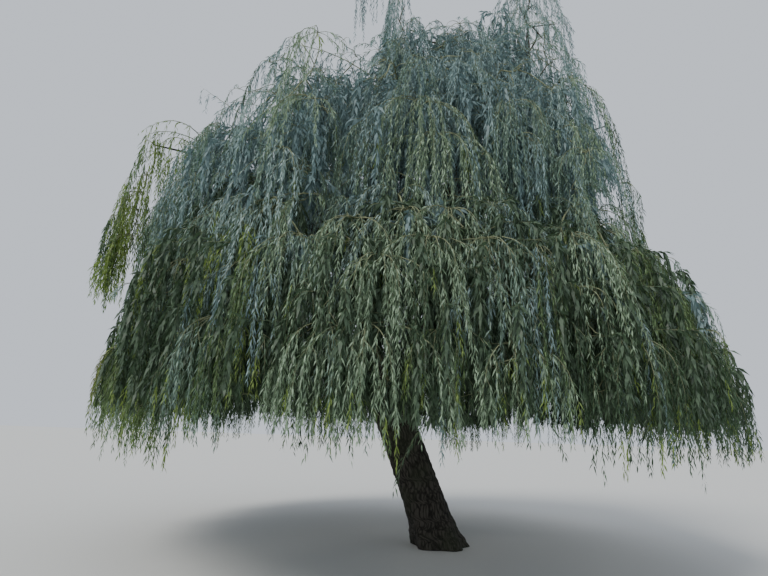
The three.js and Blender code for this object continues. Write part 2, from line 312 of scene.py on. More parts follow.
class Tint(Enum):
    """The tones of the leaves, which are dealt out by spray."""

    DEEP = LeafFinish(
        "leaf deep", (0.087, 0.146, 0.082, 1), (0.035, 0.062, 0.036, 1), (0.07, 0.14, 0.05, 1)
    )
    GLAUCOUS = LeafFinish(
        "leaf glaucous", (0.262, 0.374, 0.297, 1), (0.120, 0.175, 0.142, 1), (0.15, 0.26, 0.15, 1)
    )
    GREEN = LeafFinish(
        "leaf green", (0.169, 0.259, 0.110, 1), (0.066, 0.108, 0.046, 1), (0.12, 0.21, 0.05, 1)
    )
    SILVER = LeafFinish(
        "leaf silver", (0.371, 0.499, 0.339, 1), (0.155, 0.216, 0.148, 1), (0.17, 0.27, 0.12, 1)
    )
    FRESH = LeafFinish(
        "leaf fresh", (0.314, 0.429, 0.122, 1), (0.130, 0.187, 0.050, 1), (0.24, 0.36, 0.06, 1),
        thinness=0.4,
    )
    STRAW = LeafFinish(
        "leaf straw", (0.320, 0.352, 0.147, 1), (0.133, 0.148, 0.063, 1), (0.20, 0.22, 0.07, 1)
    )
    # The next three tints take the place of the others high up. They are paler and bluer than the
    # leaves' own colours: painted haze, a veil of light over the upper crown.
    SLATE = LeafFinish(
        "leaf slate", (0.242, 0.356, 0.360, 1), (0.146, 0.214, 0.218, 1), (0.14, 0.23, 0.22, 1)
    )
    MIST = LeafFinish(
        "leaf mist", (0.344, 0.478, 0.470, 1), (0.200, 0.279, 0.276, 1), (0.19, 0.30, 0.28, 1)
    )
    FROST = LeafFinish(
        "leaf frost", (0.436, 0.581, 0.545, 1), (0.246, 0.329, 0.312, 1), (0.21, 0.32, 0.28, 1)
    )
    SHADE = LeafFinish(
        "leaf shade", (0.104, 0.158, 0.096, 1), (0.060, 0.094, 0.057, 1), (0.07, 0.12, 0.06, 1)
    )
    # A paler bluish tint for the shaded leaves high up: painted haze over the shade.
    DUSK = LeafFinish(
        "leaf dusk", (0.224, 0.322, 0.325, 1), (0.160, 0.234, 0.238, 1), (0.16, 0.25, 0.25, 1)
    )

    def cooled(self) -> "Tint":
        """The greyer tint that takes this one's place at middle height, as the first step of the
        painted haze.
        """
        return Tint.GLAUCOUS if self is Tint.GREEN else self

    def hazed(self) -> "Tint":
        """The bluish tint that takes this one's place high up: painted haze."""
        hazed = {Tint.DEEP: Tint.SLATE, Tint.GREEN: Tint.GLAUCOUS, Tint.SILVER: Tint.FROST}
        return hazed.get(self, Tint.MIST)


# The bark's colours are darker than the bark's own grey-brown: partly its own colour, partly
# painted shade of the crown over the trunk and limbs.
BARK = BarkFinish(
    "willow bark", (0.066, 0.060, 0.050, 1), (0.012, 0.011, 0.009, 1), (0.040, 0.050, 0.028, 1),
    mossiness=0.45,
)
BRANCH = TwigFinish("branch bark", (0.118, 0.112, 0.064, 1), (0.062, 0.058, 0.034, 1))
WHIP = TwigFinish("whip bark", (0.275, 0.298, 0.165, 1), (0.165, 0.180, 0.098, 1))
FLOOR = Finish("pale floor", (0.62, 0.62, 0.60, 1))


# Shapes


def unit(vector: np.ndarray) -> np.ndarray:
    """Vectors of length 1 along the last axis."""
    return vector / np.maximum(np.linalg.norm(vector, axis=-1, keepdims=True), 1e-9)


def flat(vector: np.ndarray) -> np.ndarray:
    """The level part of vectors, at length 1."""
    return unit(vector * np.array([1.0, 1.0, 0.0]))


def level_way(angle: float) -> np.ndarray:
    """The level way at an angle from +X."""
    return np.array([math.cos(angle), math.sin(angle), 0.0])


def smoothstep(value: float, low: float, high: float) -> float:
    """0 at low, 1 at high, smooth between."""
    share = min(max((value - low) / (high - low), 0.0), 1.0)
    return share * share * (3 - 2 * share)


def triangles_of(node: bpy.types.Object) -> np.ndarray:
    """The corners of a CAD node's triangles.

    Args:
        node: The CAD node.

    Returns:
        An array of shape (triangles, 3, 3), in metres.
    """
    mesh = node.data
    mesh.calc_loop_triangles()
    corners = np.empty(len(mesh.vertices) * 3)
    mesh.vertices.foreach_get("co", corners)
    index = np.empty(len(mesh.loop_triangles) * 3, dtype=int)
    mesh.loop_triangles.foreach_get("vertices", index)
    return corners.reshape(-1, 3)[index].reshape(-1, 3, 3)


def tree_of(triangles: np.ndarray) -> BVHTree:
    """A search tree over triangles."""
    corners = [tuple(corner) for corner in triangles.reshape(-1, 3)]
    faces = [(i, i + 1, i + 2) for i in range(0, len(corners), 3)]
    return BVHTree.FromPolygons(corners, faces, all_triangles=True)


def distance_to(tree: BVHTree, place: np.ndarray, way: np.ndarray) -> float | None:
    """How far off a surface is one way, or nothing if there is none."""
    return tree.ray_cast(Vector(place), Vector(way))[3]


@dataclass
class LimbAxis:
    """The middle line of a packed limb, found by cutting across it step by step.

    Args:
        node: The limb's node name.
        start: A point on the middle line near the tip.
        heading: The first direction, from the tip to the base.
        step: How far apart the cuts are.
        reach: How far from the middle line a cut can belong to the limb.
    """

    node: str
    start: np.ndarray
    heading: np.ndarray
    step: float
    reach: float
    points: np.ndarray = field(init=False)
    radii: np.ndarray = field(init=False)

    FACET_LOSS = 0.93  # mean radius of a faceted ring against that of its corners
    MOST_CUTS = 200

    def __post_init__(self) -> None:
        """Walks along the limb from its tip to its base, and turns the line round."""
        triangles = triangles_of(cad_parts[self.node])
        place, heading = self.start, unit(self.heading)
        points, radii = [], []
        while len(points) < self.MOST_CUTS:
            found = self._cut(triangles, place, heading)
            if found is None:
                break
            centre, radius = found
            if points:
                heading = unit(0.5 * heading + 0.5 * unit(centre - points[-1]))
            points.append(centre)
            radii.append(radius)
            place = centre + heading * self.step
        self.points = np.array(points[::-1])
        self.radii = np.array(radii[::-1])

    def draw_out(self, reach: float, share: float) -> None:
        """Thins the limb towards its tip.

        Args:
            reach: How far from the tip the thinning starts.
            share: How much of the radius is left at the tip.
        """
        left = self.step * np.arange(len(self.radii))[::-1]
        thinning = np.array([1 - smoothstep(away, 0.0, reach) for away in left])
        self.radii = self.radii * (1 - (1 - share) * thinning)

    def _cut(
        self, triangles: np.ndarray, place: np.ndarray, heading: np.ndarray
    ) -> tuple[np.ndarray, float] | None:
        """Cuts the limb with a plane.

        Returns:
            The middle and mean radius of the cut, or nothing past the limb's end.
        """
        side = (triangles - place) @ heading
        crossing = (side.min(axis=1) < 0) & (side.max(axis=1) > 0)
        ends = []
        for corners, distance in zip(triangles[crossing], side[crossing]):
            pair = []
            for i, j in ((0, 1), (1, 2), (2, 0)):
                if distance[i] * distance[j] < 0:
                    share = distance[i] / (distance[i] - distance[j])
                    pair.append(corners[i] + share * (corners[j] - corners[i]))
            if len(pair) == 2:
                ends.append(pair)
        if not ends:
            return None
        ends = np.array(ends)
        middle = ends.mean(axis=1)
        near = np.linalg.norm(middle - place, axis=1) < self.reach
        if near.sum() < 3:
            return None
        length = np.linalg.norm(ends[near, 0] - ends[near, 1], axis=1)
        centre = (middle[near] * length[:, None]).sum(axis=0) / length.sum()
        out = np.linalg.norm(middle[near] - centre, axis=1)
        return centre, float((out * length).sum() / length.sum()) / self.FACET_LOSS


class Line:
    """A smooth line through points, measured along its length.

    Args:
        points: The points.
        values: A number at each point, such as a radius.
    """

    AHEAD = 0.05  # how far ahead the line's way is taken from

    def __init__(self, points: np.ndarray, values: np.ndarray | None = None) -> None:
        """Measures the line."""
        gaps = np.linalg.norm(np.diff(points, axis=0), axis=1)
        self.points = points
        self.values = np.zeros(len(points)) if values is None else values
        self.along = np.concatenate([[0.0], np.cumsum(gaps)])

    @property
    def length(self) -> float:
        """The whole length."""
        return float(self.along[-1])

    def at(self, distances: np.ndarray) -> tuple[np.ndarray, np.ndarray]:
        """Points and values at distances along the line."""
        places = [np.interp(distances, self.along, self.points[:, i]) for i in range(3)]
        return np.stack(places, axis=-1), np.interp(distances, self.along, self.values)

    def stands(self, first: float, gap: float) -> list[tuple[np.ndarray, np.ndarray]]:
        """Places along the line, each with the way that the line goes there.

        Args:
            first: How far along the first one is.
            gap: How far apart they are.

        Returns:
            A place and a way for each.
        """
        distances = np.arange(first, self.length, gap)
        places, _ = self.at(distances)
        ahead, _ = self.at(distances + self.AHEAD)
        return list(zip(places, unit(ahead - places)))


def carried_frames(points: np.ndarray) -> tuple[np.ndarray, np.ndarray, np.ndarray]:
    """Directions along a line, with two sideways directions that don't twist.

    Args:
        points: The points of the line.

    Returns:
        The forward directions, and two arrays of sideways directions.
    """
    forward = unit(np.gradient(points, axis=0))
    side = np.empty_like(forward)
    first = np.cross(forward[0], np.array([0.0, 1.0, 0.0]))
    if np.linalg.norm(first) < 0.1:
        first = np.cross(forward[0], np.array([1.0, 0.0, 0.0]))
    side[0] = unit(first)
    for i in range(1, len(points)):
        side[i] = unit(side[i - 1] - forward[i] * (side[i - 1] @ forward[i]))
    return forward, side, np.cross(forward, side)


class Relief:
    """The long plates of the bark on a limb, and the furrows between them."""

    ATTRIBUTE = "furrow"
    SWAY = 0.55  # how far the plates wander, against their width
    STEEP = 2.2  # how steep the sides of a plate are
    FLAT_TOP = 0.6  # how round a plate is, from 0 for a flat top to 1
    PLATE, ROUGH = 0.9, 0.28  # how much of the height comes from plates, and from roughness

    def __init__(self, seed: float, width: float, stretch: float) -> None:
        """Sets the size of the plates.

        Args:
            seed: Moves the pattern.
            width: How wide the plates are.
            stretch: How many times longer than wide they are.
        """
        self.seed = seed
        self.width = width
        self.stretch = stretch

    def at(self, angle: float, radius: float, along: float) -> float:
        """The height of the bark, from 0 in a furrow to 1 on a plate."""
        x = math.cos(angle) * radius / self.width
        y = math.sin(angle) * radius / self.width
        z = along / self.width / self.stretch
        sway = noise.noise_vector(Vector((x * 0.4, y * 0.4, z * 1.6 + self.seed)))
        place = Vector((x, y, z + self.seed)) + self.SWAY * sway
        near = noise.voronoi(place)[0]
        plate = min(1.0, (near[1] - near[0]) * self.STEEP) ** self.FLAT_TOP
        rough = noise.noise(Vector((place.x * 3.0, place.y * 3.0, place.z * 6.0)))
        return min(1.0, max(0.0, self.PLATE * plate + self.ROUGH * rough))


@dataclass
class BarkLimb:
    """A trunk, leader or bough with the relief of its bark.

    Args:
        node: The CAD node that it replaces.
        line: Its middle line and radii, from base to tip.
        sides: How many facets it has round it.
        ring_gap: How far apart its rings are.
        plate: How wide the plates of its bark are.
        depth: How deep its furrows are, as a share of the radius.
        section: The search tree of a solid whose own outline is kept, if any.
    """

    node: str
    line: Line
    sides: int
    ring_gap: float
    plate: float
    depth: float
    section: BVHTree | None = None

    STRETCH = 4.5
    ROUNDING = 28  # rounds of easing between the corners of a kept outline
    LOBES = 5
    LOBE_DEPTH = 0.045
    LOBE_TOP = 0.75  # the height at which the lobes of the root flare have gone

    def build(self, material: bpy.types.Material) -> bpy.types.Object:
        """Builds the limb ring by ring, with the relief of its bark.

        Args:
            material: The bark.

        Returns:
            The new object.
        """
        rings = max(3, round(self.line.length / self.ring_gap))
        distances = np.linspace(0, self.line.length, rings + 1)
        places, heights = self._rings(distances)
        work = bmesh.new()
        layer = work.verts.layers.float.new(Relief.ATTRIBUTE)
        bmesh.ops.create_circle(work, cap_ends=True, segments=self.sides, radius=1.0)
        edges = list(work.edges)
        turn = self.sides / (2 * math.pi)
        order = {vert: round(math.atan2(vert.co.y, vert.co.x) * turn) for vert in work.verts}
        for i in range(rings + 1):
            if i:
                grown = bmesh.ops.extrude_edge_only(work, edges=edges)["geom"]
                edges = [item for item in grown if isinstance(item, bmesh.types.BMEdge)]
                old = {vert.co.copy().freeze(): number for vert, number in order.items()}
                order = {
                    item: old[item.co.copy().freeze()]
                    for item in grown
                    if isinstance(item, bmesh.types.BMVert)
                }
            for vert, number in order.items():
                vert.co = Vector(places[i, number % self.sides])
                vert[layer] = heights[i, number % self.sides]
        bmesh.ops.contextual_create(work, geom=edges)
        bmesh.ops.recalc_face_normals(work, faces=work.faces)
        mesh = bpy.data.meshes.new(self.node + "_bark")
        work.to_mesh(mesh)
        work.free()
        mesh.shade_smooth()
        return dressed(mesh, material, [self.node])

    def _rings(self, distances: np.ndarray) -> tuple[np.ndarray, np.ndarray]:
        """Where the corners of every ring go, and the height of the bark there."""
        points, radii = self.line.at(distances)
        points = smoothed(points, 2)
        _, side, cross = carried_frames(points)
        if self.section is not None:
            side[:], cross[:] = (1.0, 0.0, 0.0), (0.0, 1.0, 0.0)
        turn = np.arange(self.sides) * 2 * math.pi / self.sides
        out = side[:, None] * np.cos(turn)[:, None] + cross[:, None] * np.sin(turn)[:, None]
        reach = np.repeat(radii[:, None], self.sides, axis=1)
        if self.section is not None:
            reach = self._outline(points, out, reach, turn)
        relief = Relief(float(sum(map(ord, self.node)) % 97), self.plate, self.STRETCH)
        heights = np.array(
            [
                [relief.at(angle, far, along) for angle, far in zip(turn, row)]
                for along, row in zip(distances, reach)
            ]
        )
        depth = self.depth * radii[:, None] * (1.0 - heights)
        return points[:, None] + out * (reach - depth)[..., None], heights

    def _outline(
        self, points: np.ndarray, out: np.ndarray, reach: np.ndarray, turn: np.ndarray
    ) -> np.ndarray:
        """The outline of the kept solid, with its corners eased and lobes on its root flare."""
        for i, point in enumerate(points):
            for j, way in enumerate(out[i]):
                found = distance_to(self.section, point, way)
                if found is not None:
                    reach[i, j] = found
        for _ in range(self.ROUNDING):
            reach = 0.5 * reach + 0.25 * (np.roll(reach, 1, axis=1) + np.roll(reach, -1, axis=1))
        reach = smoothed(reach, 6)
        flare = np.array([1 - smoothstep(point[2], 0.0, self.LOBE_TOP) for point in points])
        sway = 0.5 * np.sin(2 * turn + 1.0)
        return reach * (1 + self.LOBE_DEPTH * flare[:, None] * np.sin(self.LOBES * turn + sway))


def smoothed(points: np.ndarray, rounds: int) -> np.ndarray:
    """Points with their kinks eased, ends kept."""
    eased = points.copy()
    for _ in range(rounds):
        eased[1:-1] = 0.25 * eased[:-2] + 0.5 * eased[1:-1] + 0.25 * eased[2:]
    return eased


def placed(name: str, data: bpy.types.ID) -> bpy.types.Object:
    """Makes an object and puts it in the scene."""
    made = bpy.data.objects.new(name, data)
    bpy.context.scene.collection.objects.link(made)
    return made


def dressed(
    mesh: bpy.types.Mesh, material: bpy.types.Material, nodes: list[str]
) -> bpy.types.Object:
    """Makes an object of a mesh and ties it to the tree.

    Args:
        mesh: The finished mesh.
        material: Its finish.
        nodes: The CAD nodes that it stands for.

    Returns:
        The new object.
    """
    mesh.materials.append(material)
    piece = placed(mesh.name, mesh)
    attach(piece, ROOT)
    if nodes:
        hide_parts(*nodes)
    LOG.info("%s: %d polygons", piece.name, len(mesh.polygons))
    return piece


class Bundle:
    """Many small shapes gathered into meshes of one kind.

    Args:
        name: The name of the kind.
        slot: A material slot name. Not used.
        material: The finish.
        smooth: Whether the faces shade as one surface.
    """

    def __init__(
        self, name: str, slot: str, material: bpy.types.Material, smooth: bool = True
    ) -> None:
        """Starts empty."""
        self.name = name
        self.slot = slot
        self.material = material
        self.smooth = smooth
        self.vertices: list[np.ndarray] = []
        self.triangles: list[np.ndarray] = []
        self.nodes: list[str] = []
        self.count = 0
        self.faces = 0
        self.total = 0
        self.pieces = 0

    def add(self, vertices: np.ndarray, triangles: np.ndarray) -> None:
        """Adds shapes, and closes a piece when it is full.

        Args:
            vertices: Corners, of shape (n, 3).
            triangles: Corner numbers, of shape (m, 3).
        """
        if self.faces + len(triangles) > MAX_TRIANGLES:
            self.close()
        self.triangles.append(triangles + self.count)
        self.vertices.append(vertices)
        self.count += len(vertices)
        self.faces += len(triangles)
        self.total += len(triangles)

    def close(self) -> None:
        """Makes a piece of what has been gathered."""
        if not self.vertices:
            return
        vertices = np.concatenate(self.vertices)
        triangles = np.concatenate(self.triangles)
        self.pieces += 1
        mesh = bpy.data.meshes.new(f"{self.name}_{self.pieces}")
        mesh.vertices.add(len(vertices))
        mesh.vertices.foreach_set("co", vertices.astype(np.float32).ravel())
        mesh.loops.add(triangles.size)
        mesh.loops.foreach_set("vertex_index", triangles.astype(np.int32).ravel())
        mesh.polygons.add(len(triangles))
        mesh.polygons.foreach_set("loop_start", np.arange(0, triangles.size, 3, dtype=np.int32))
        mesh.update(calc_edges=True)
        mesh.validate()
        if self.smooth:
            mesh.shade_smooth()
        dressed(mesh, self.material, self.nodes)
        self.nodes = []
        self.vertices, self.triangles, self.count, self.faces = [], [], 0, 0


def tube(points: np.ndarray, radii: np.ndarray, sides: int) -> tuple[np.ndarray, np.ndarray]:
    """A thin closed tube that runs to a point.

    Args:
        points: Its middle line.
        radii: Its radius at each point but the last.
        sides: How many facets it has round it.

    Returns:
        Its corners and triangles.
    """
    _, side, cross = carried_frames(points)
    turn = np.arange(sides) * 2 * math.pi / sides
    out = (
        side[:-1, None] * np.cos(turn)[None, :, None]
        + cross[:-1, None] * np.sin(turn)[None, :, None]
    )
    body = (points[:-1, None] + out * radii[:, None, None]).reshape(-1, 3)
    rows = len(points) - 1
    vertices = np.concatenate([body, points[-1:]])
    row, column = np.meshgrid(np.arange(rows - 1), np.arange(sides), indexing="ij")
    a = (row * sides + column).ravel()
    b = (row * sides + (column + 1) % sides).ravel()
    walls = np.concatenate(
        [np.stack([a, b, b + sides], axis=1), np.stack([a, b + sides, a + sides], axis=1)]
    )
    last = (rows - 1) * sides + np.arange(sides)
    cap = np.stack([last, np.roll(last, -1), np.full(sides, len(vertices) - 1)], axis=1)
    return vertices, np.concatenate([walls, cap])


# Foliage


@dataclass(frozen=True)
class Habit:
    """How one kind of mass grows.

    Args:
        spacing: How far apart its sprays are.
        gap: How far apart whips hang along an arch.
        lengths: The shortest and longest whip.
        overhang: How far whips may hang past the foot of the mass.
        tips: The share of whips with fresh tips.
        tints: The weight of each tint, in the order of Tint.
        haze: The heights between which its leaves turn bluish, with painted haze.
        spread: How far its arches reach, against the room that the mass gives them.
        sunk: The least and most that a spray on a level face stands lower than its place.
        depth: How far inside its outer face its shaded whips start, if it has any.
        inner_spacing: How far apart they are.
    """

    spacing: float
    gap: float
    lengths: tuple[float, float]
    overhang: float
    tips: float
    tints: tuple[float, ...]
    haze: tuple[float, float] = (3.0, 8.3)
    spread: float = 1.0
    sunk: tuple[float, float] = (0.0, 0.0)
    depth: float | None = None
    inner_spacing: float = 0.40


class Tier(Enum):
    """The kinds of mass, by how they grow."""

    SKIRT = Habit(
        0.50, 0.14, (0.6, 1.7), 0.16, 0.25, (0.34, 0.13, 0.43, 0.07, 0.02, 0.01),
        haze=(2.6, 6.5), depth=0.20, inner_spacing=0.30,
    )
    MIDDLE = Habit(
        0.52, 0.15, (0.8, 2.3), 1.3, 0.06, (0.16, 0.48, 0.18, 0.18, 0.0, 0.0),
        sunk=(-0.5, 0.9), depth=0.32,
    )
    UPPER = Habit(
        0.50, 0.15, (0.9, 2.6), 1.6, 0.0, (0.20, 0.48, 0.20, 0.12, 0.0, 0.0), depth=0.45
    )
    TOP_LEFT = Habit(
        0.27, 0.12, (0.8, 2.2), 1.4, 0.0, (0.34, 0.40, 0.22, 0.04, 0.0, 0.0), spread=0.9
    )
    TOP = Habit(
        0.40, 0.15, (0.9, 2.6), 1.8, 0.0, (0.26, 0.42, 0.22, 0.10, 0.0, 0.0), depth=0.42
    )
    STRAND_LEFT = Habit(
        0.24, 0.12, (0.7, 1.9), 0.3, 0.7, (0.0, 0.03, 0.27, 0.05, 0.65, 0.0), spread=0.35
    )
    STRAND_RIGHT = Habit(
        0.34, 0.14, (0.8, 1.9), 0.3, 0.1, (0.66, 0.16, 0.16, 0.02, 0.0, 0.0), spread=0.6
    )

    @classmethod
    def of(cls, name: str) -> "Tier":
        """The tier that a mass belongs to: the one that its name starts with."""
        return next(tier for tier in cls if name.upper().startswith(tier.name))


@dataclass(frozen=True)
class SkyGap:
    """A place where the sky shows through the crown from the front.

    Args:
        centre: Its middle.
        radius: How far it reaches, square to the view.
        kept: The share of whips that still hang there.
    """

    centre: tuple[float, float, float]
    radius: float
    kept: float

    def bare(self, place: np.ndarray) -> bool:
        """Whether a place is in the gap, and nothing hangs through it."""
        return self.kept == 0 and self.holds(place)

    def holds(self, place: np.ndarray) -> bool:
        """Whether a place is in the gap, seen from where the viewer stands."""
        way = unit(np.array(self.centre) - EYE)
        off = place - EYE
        return float(np.linalg.norm(off - way * (off @ way))) < self.radius


SKY_GAPS = (
    SkyGap((-3.55, -1.5, 7.60), 0.60, 0.42),
    SkyGap((-2.90, -1.5, 7.75), 0.40, 0.70),
    SkyGap((-2.45, -1.5, 8.20), 0.34, 0.65),
    SkyGap((-2.30, -1.5, 8.75), 0.40, 0.90),
    SkyGap((-1.80, 0.0, 9.50), 0.56, 0.10),
    SkyGap((0.10, 0.0, 10.6), 0.40, 0.60),
    SkyGap((2.00, 0.0, 11.2), 0.95, 0.50),
    SkyGap((1.85, 0.0, 9.70), 0.50, 0.36),
    SkyGap((2.75, 0.0, 9.60), 0.60, 0.55),
    SkyGap((2.80, 0.0, 8.40), 0.45, 0.55),
    SkyGap((3.10, 0.0, 6.90), 0.22, 0.30),
    SkyGap((3.25, 0.0, 6.15), 0.25, 0.0),
)


def short_of_gaps(points: np.ndarray) -> np.ndarray:
    """The part of a whip above the first gap that nothing hangs through."""
    for i, point in enumerate(points):
        if any(gap.bare(point) for gap in SKY_GAPS):
            return points[:i]
    return points


# Bearing round the crown, in degrees from the front towards +X, and height of the sprays that
# stand out most.
CRESTS = (
    (-58, 5.6), (-45, 4.1), (-32, 3.1), (-30, 4.9), (-26, 3.9), (-21, 5.0), (-21, 4.2), (-15, 3.1),
    (-12, 4.6), (-11, 5.3), (-8, 3.1), (-7, 3.9), (0, 4.3), (8, 4.2), (10, 2.8), (18, 4.3),
    (22, 3.7), (24, 4.6), (49, 3.5), (2, 6.0), (-22, 6.2), (31, 6.3),
)


@dataclass
class Shoot:
    """A thin leafy shoot.

    Args:
        points: Its line, from base to tip.
        radius: Its radius at the base.
        tint: The tint of its leaves.
        tip: The tint of the leaves near its tip.
        bare: How much of its base has no leaves.
        fullness: The share of its leaves that it carries.
    """

    points: np.ndarray
    radius: float
    tint: Tint
    tip: Tint
    bare: float = 0.04
    fullness: float = 1.0


def arched(start: np.ndarray, level: np.ndarray, reach: float, rise: float) -> np.ndarray:
    """The line of an arch that sets out upwards and bends over.

    Args:
        start: Where it starts.
        level: The level way that it goes.
        reach: How far it goes that way.
        rise: How steeply it sets out, in radians.

    Returns:
        Its points.
    """
    share = (np.arange(ARCH_STEPS) + 0.5) / ARCH_STEPS
    angle = rise + (ARCH_FALL - rise) * share**0.85
    length = reach / np.cos(angle).mean()
    way = np.cos(angle)[:, None] * level + np.sin(angle)[:, None] * UP
    moves = way * length / ARCH_STEPS
    return np.concatenate([start[None], start + np.cumsum(moves, axis=0)])


def hanging(
    start: np.ndarray, heading: np.ndarray, length: float, curl: float, lean: np.ndarray
) -> np.ndarray:
    """The line of a whip that bends over and hangs.

    Args:
        start: Where it starts.
        heading: The way it sets out.
        length: Its length.
        curl: How soon it turns down, in metres.
        lean: How it drifts from the plumb line at first.

    Returns:
        Its points.
    """
    bend = min(2.0 * curl, 0.6 * length)
    straight = max(2, round((length - bend) / WHIP_STEP) + 1)
    along = np.concatenate([np.linspace(0, bend, 3)[:-1], np.linspace(bend, length, straight)])
    middle = (along[:-1] + along[1:]) / 2
    turned = (1.0 - np.exp(-((middle / curl) ** 1.5)))[:, None]
    settled = DOWN + lean * (1.0 - 0.6 * middle / length)[:, None]
    moves = unit(heading * (1 - turned) + settled * turned) * np.diff(along)[:, None]
    return np.concatenate([start[None], start + np.cumsum(moves, axis=0)])


@dataclass(frozen=True)
class LongArch:
    """A long thin branch that arches clear of the crown, with whips along it.

    Args:
        mass: The mass that it grows from.
        route: Points on it, from where it leaves the mass.
        gap: How far apart its whips are.
        lengths: The shortest and longest of them.
        tint: The tint of its leaves.
    """

    mass: str
    route: tuple[tuple[float, float, float], ...]
    gap: float
    lengths: tuple[float, float]
    tint: Tint

    def line(self) -> np.ndarray:
        """Points on a smooth line through the route."""
        route = np.array(self.route)
        ends = np.concatenate([[2 * route[0] - route[1]], route, [2 * route[-1] - route[-2]]])
        points = []
        for a, b, c, d in zip(ends, ends[1:], ends[2:], ends[3:]):
            for t in (0.0, 0.25, 0.5, 0.75):
                points.append(
                    b
                    + 0.5 * t * (c - a)
                    + t * t * (a - 2.5 * b + 2 * c - 0.5 * d)
                    + 0.5 * t**3 * (3 * b - 3 * c + d - a)
                )
        return np.array(points + [route[-1]])


LONG_ARCHES = (
    LongArch(
        "upper_left",
        ((-1.4, -1.3, 8.0), (-1.9, -1.4, 8.25), (-2.4, -1.4, 8.45), (-2.9, -1.4, 8.5),
         (-3.35, -1.4, 8.15), (-3.65, -1.4, 7.5)),
        0.10, (0.25, 0.85), Tint.SLATE,
    ),
    LongArch(
        "middle_left_front",
        ((-3.4, -1.6, 6.9), (-3.65, -1.6, 7.05), (-4.1, -1.6, 7.35), (-4.32, -1.6, 7.5)),
        0.16, (0.12, 0.4), Tint.SLATE,
    ),
    LongArch(
        "middle_left",
        ((-4.2, -1.3, 6.5), (-4.4, -1.6, 6.55), (-4.7, -1.8, 6.55), (-5.0, -1.8, 6.5),
         (-5.15, -1.8, 6.35)),
        0.13, (0.3, 0.8), Tint.GREEN,
    ),
    LongArch(
        "middle_left",
        ((-4.2, -1.2, 6.6), (-4.4, -1.7, 6.7), (-4.7, -1.8, 6.75), (-5.0, -1.8, 6.65),
         (-5.2, -1.8, 6.5)),
        0.15, (0.3, 0.7), Tint.FRESH,
    ),
    LongArch(
        "middle_left",
        ((-4.2, -1.4, 6.35), (-4.4, -1.7, 6.42), (-4.6, -1.8, 6.45), (-4.8, -1.8, 6.34),
         (-4.95, -1.8, 6.1)),
        0.06, (0.6, 1.5), Tint.FRESH,
    ),
    LongArch(
        "middle_left",
        ((-4.2, -1.4, 6.0), (-4.4, -1.7, 6.08), (-4.57, -1.8, 6.1), (-4.72, -1.8, 5.95)),
        0.06, (0.6, 1.3), Tint.FRESH,
    ),
    LongArch(
        "top_left_spire",
        ((-1.0, 0.1, 11.2), (-1.25, 0.1, 11.38), (-1.6, 0.1, 11.25), (-1.85, 0.1, 10.85)),
        0.05, (0.5, 1.3), Tint.SLATE,
    ),
    LongArch(
        "top_saddle",
        ((-0.1, -0.3, 8.95), (-0.4, -0.35, 9.05), (-0.7, -0.3, 8.95), (-0.95, -0.25, 8.6)),
        0.05, (0.4, 1.3), Tint.SLATE,
    ),
    LongArch(
        "top_saddle",
        ((-0.1, 0.1, 8.8), (-0.4, 0.25, 8.9), (-0.7, 0.35, 8.8), (-0.95, 0.4, 8.4)),
        0.05, (0.4, 1.3), Tint.SLATE,
    ),
    LongArch(
        "top_saddle",
        ((-0.1, -0.6, 8.7), (-0.4, -0.75, 8.8), (-0.7, -0.85, 8.7), (-0.95, -0.9, 8.3)),
        0.05, (0.4, 1.3), Tint.SLATE,
    ),
    LongArch(
        "top_right_dome",
        ((1.7, 0.0, 11.6), (1.9, -0.1, 11.9), (2.15, -0.1, 12.0), (2.4, -0.1, 11.7)),
        0.10, (0.5, 1.3), Tint.SLATE,
    ),
    LongArch(
        "upper_right",
        ((2.5, -0.3, 8.5), (2.75, -0.4, 8.5), (2.96, -0.4, 8.35), (3.14, -0.4, 8.0),
         (3.3, -0.4, 7.5)),
        0.10, (0.3, 0.9), Tint.SLATE,
    ),
    LongArch(
        "skirt_front",
        ((-0.1, -4.3, 2.55), (0.13, -4.6, 2.65), (0.37, -4.7, 2.7), (0.5, -4.7, 2.62)),
        0.14, (0.2, 0.5), Tint.FRESH,
    ),
)


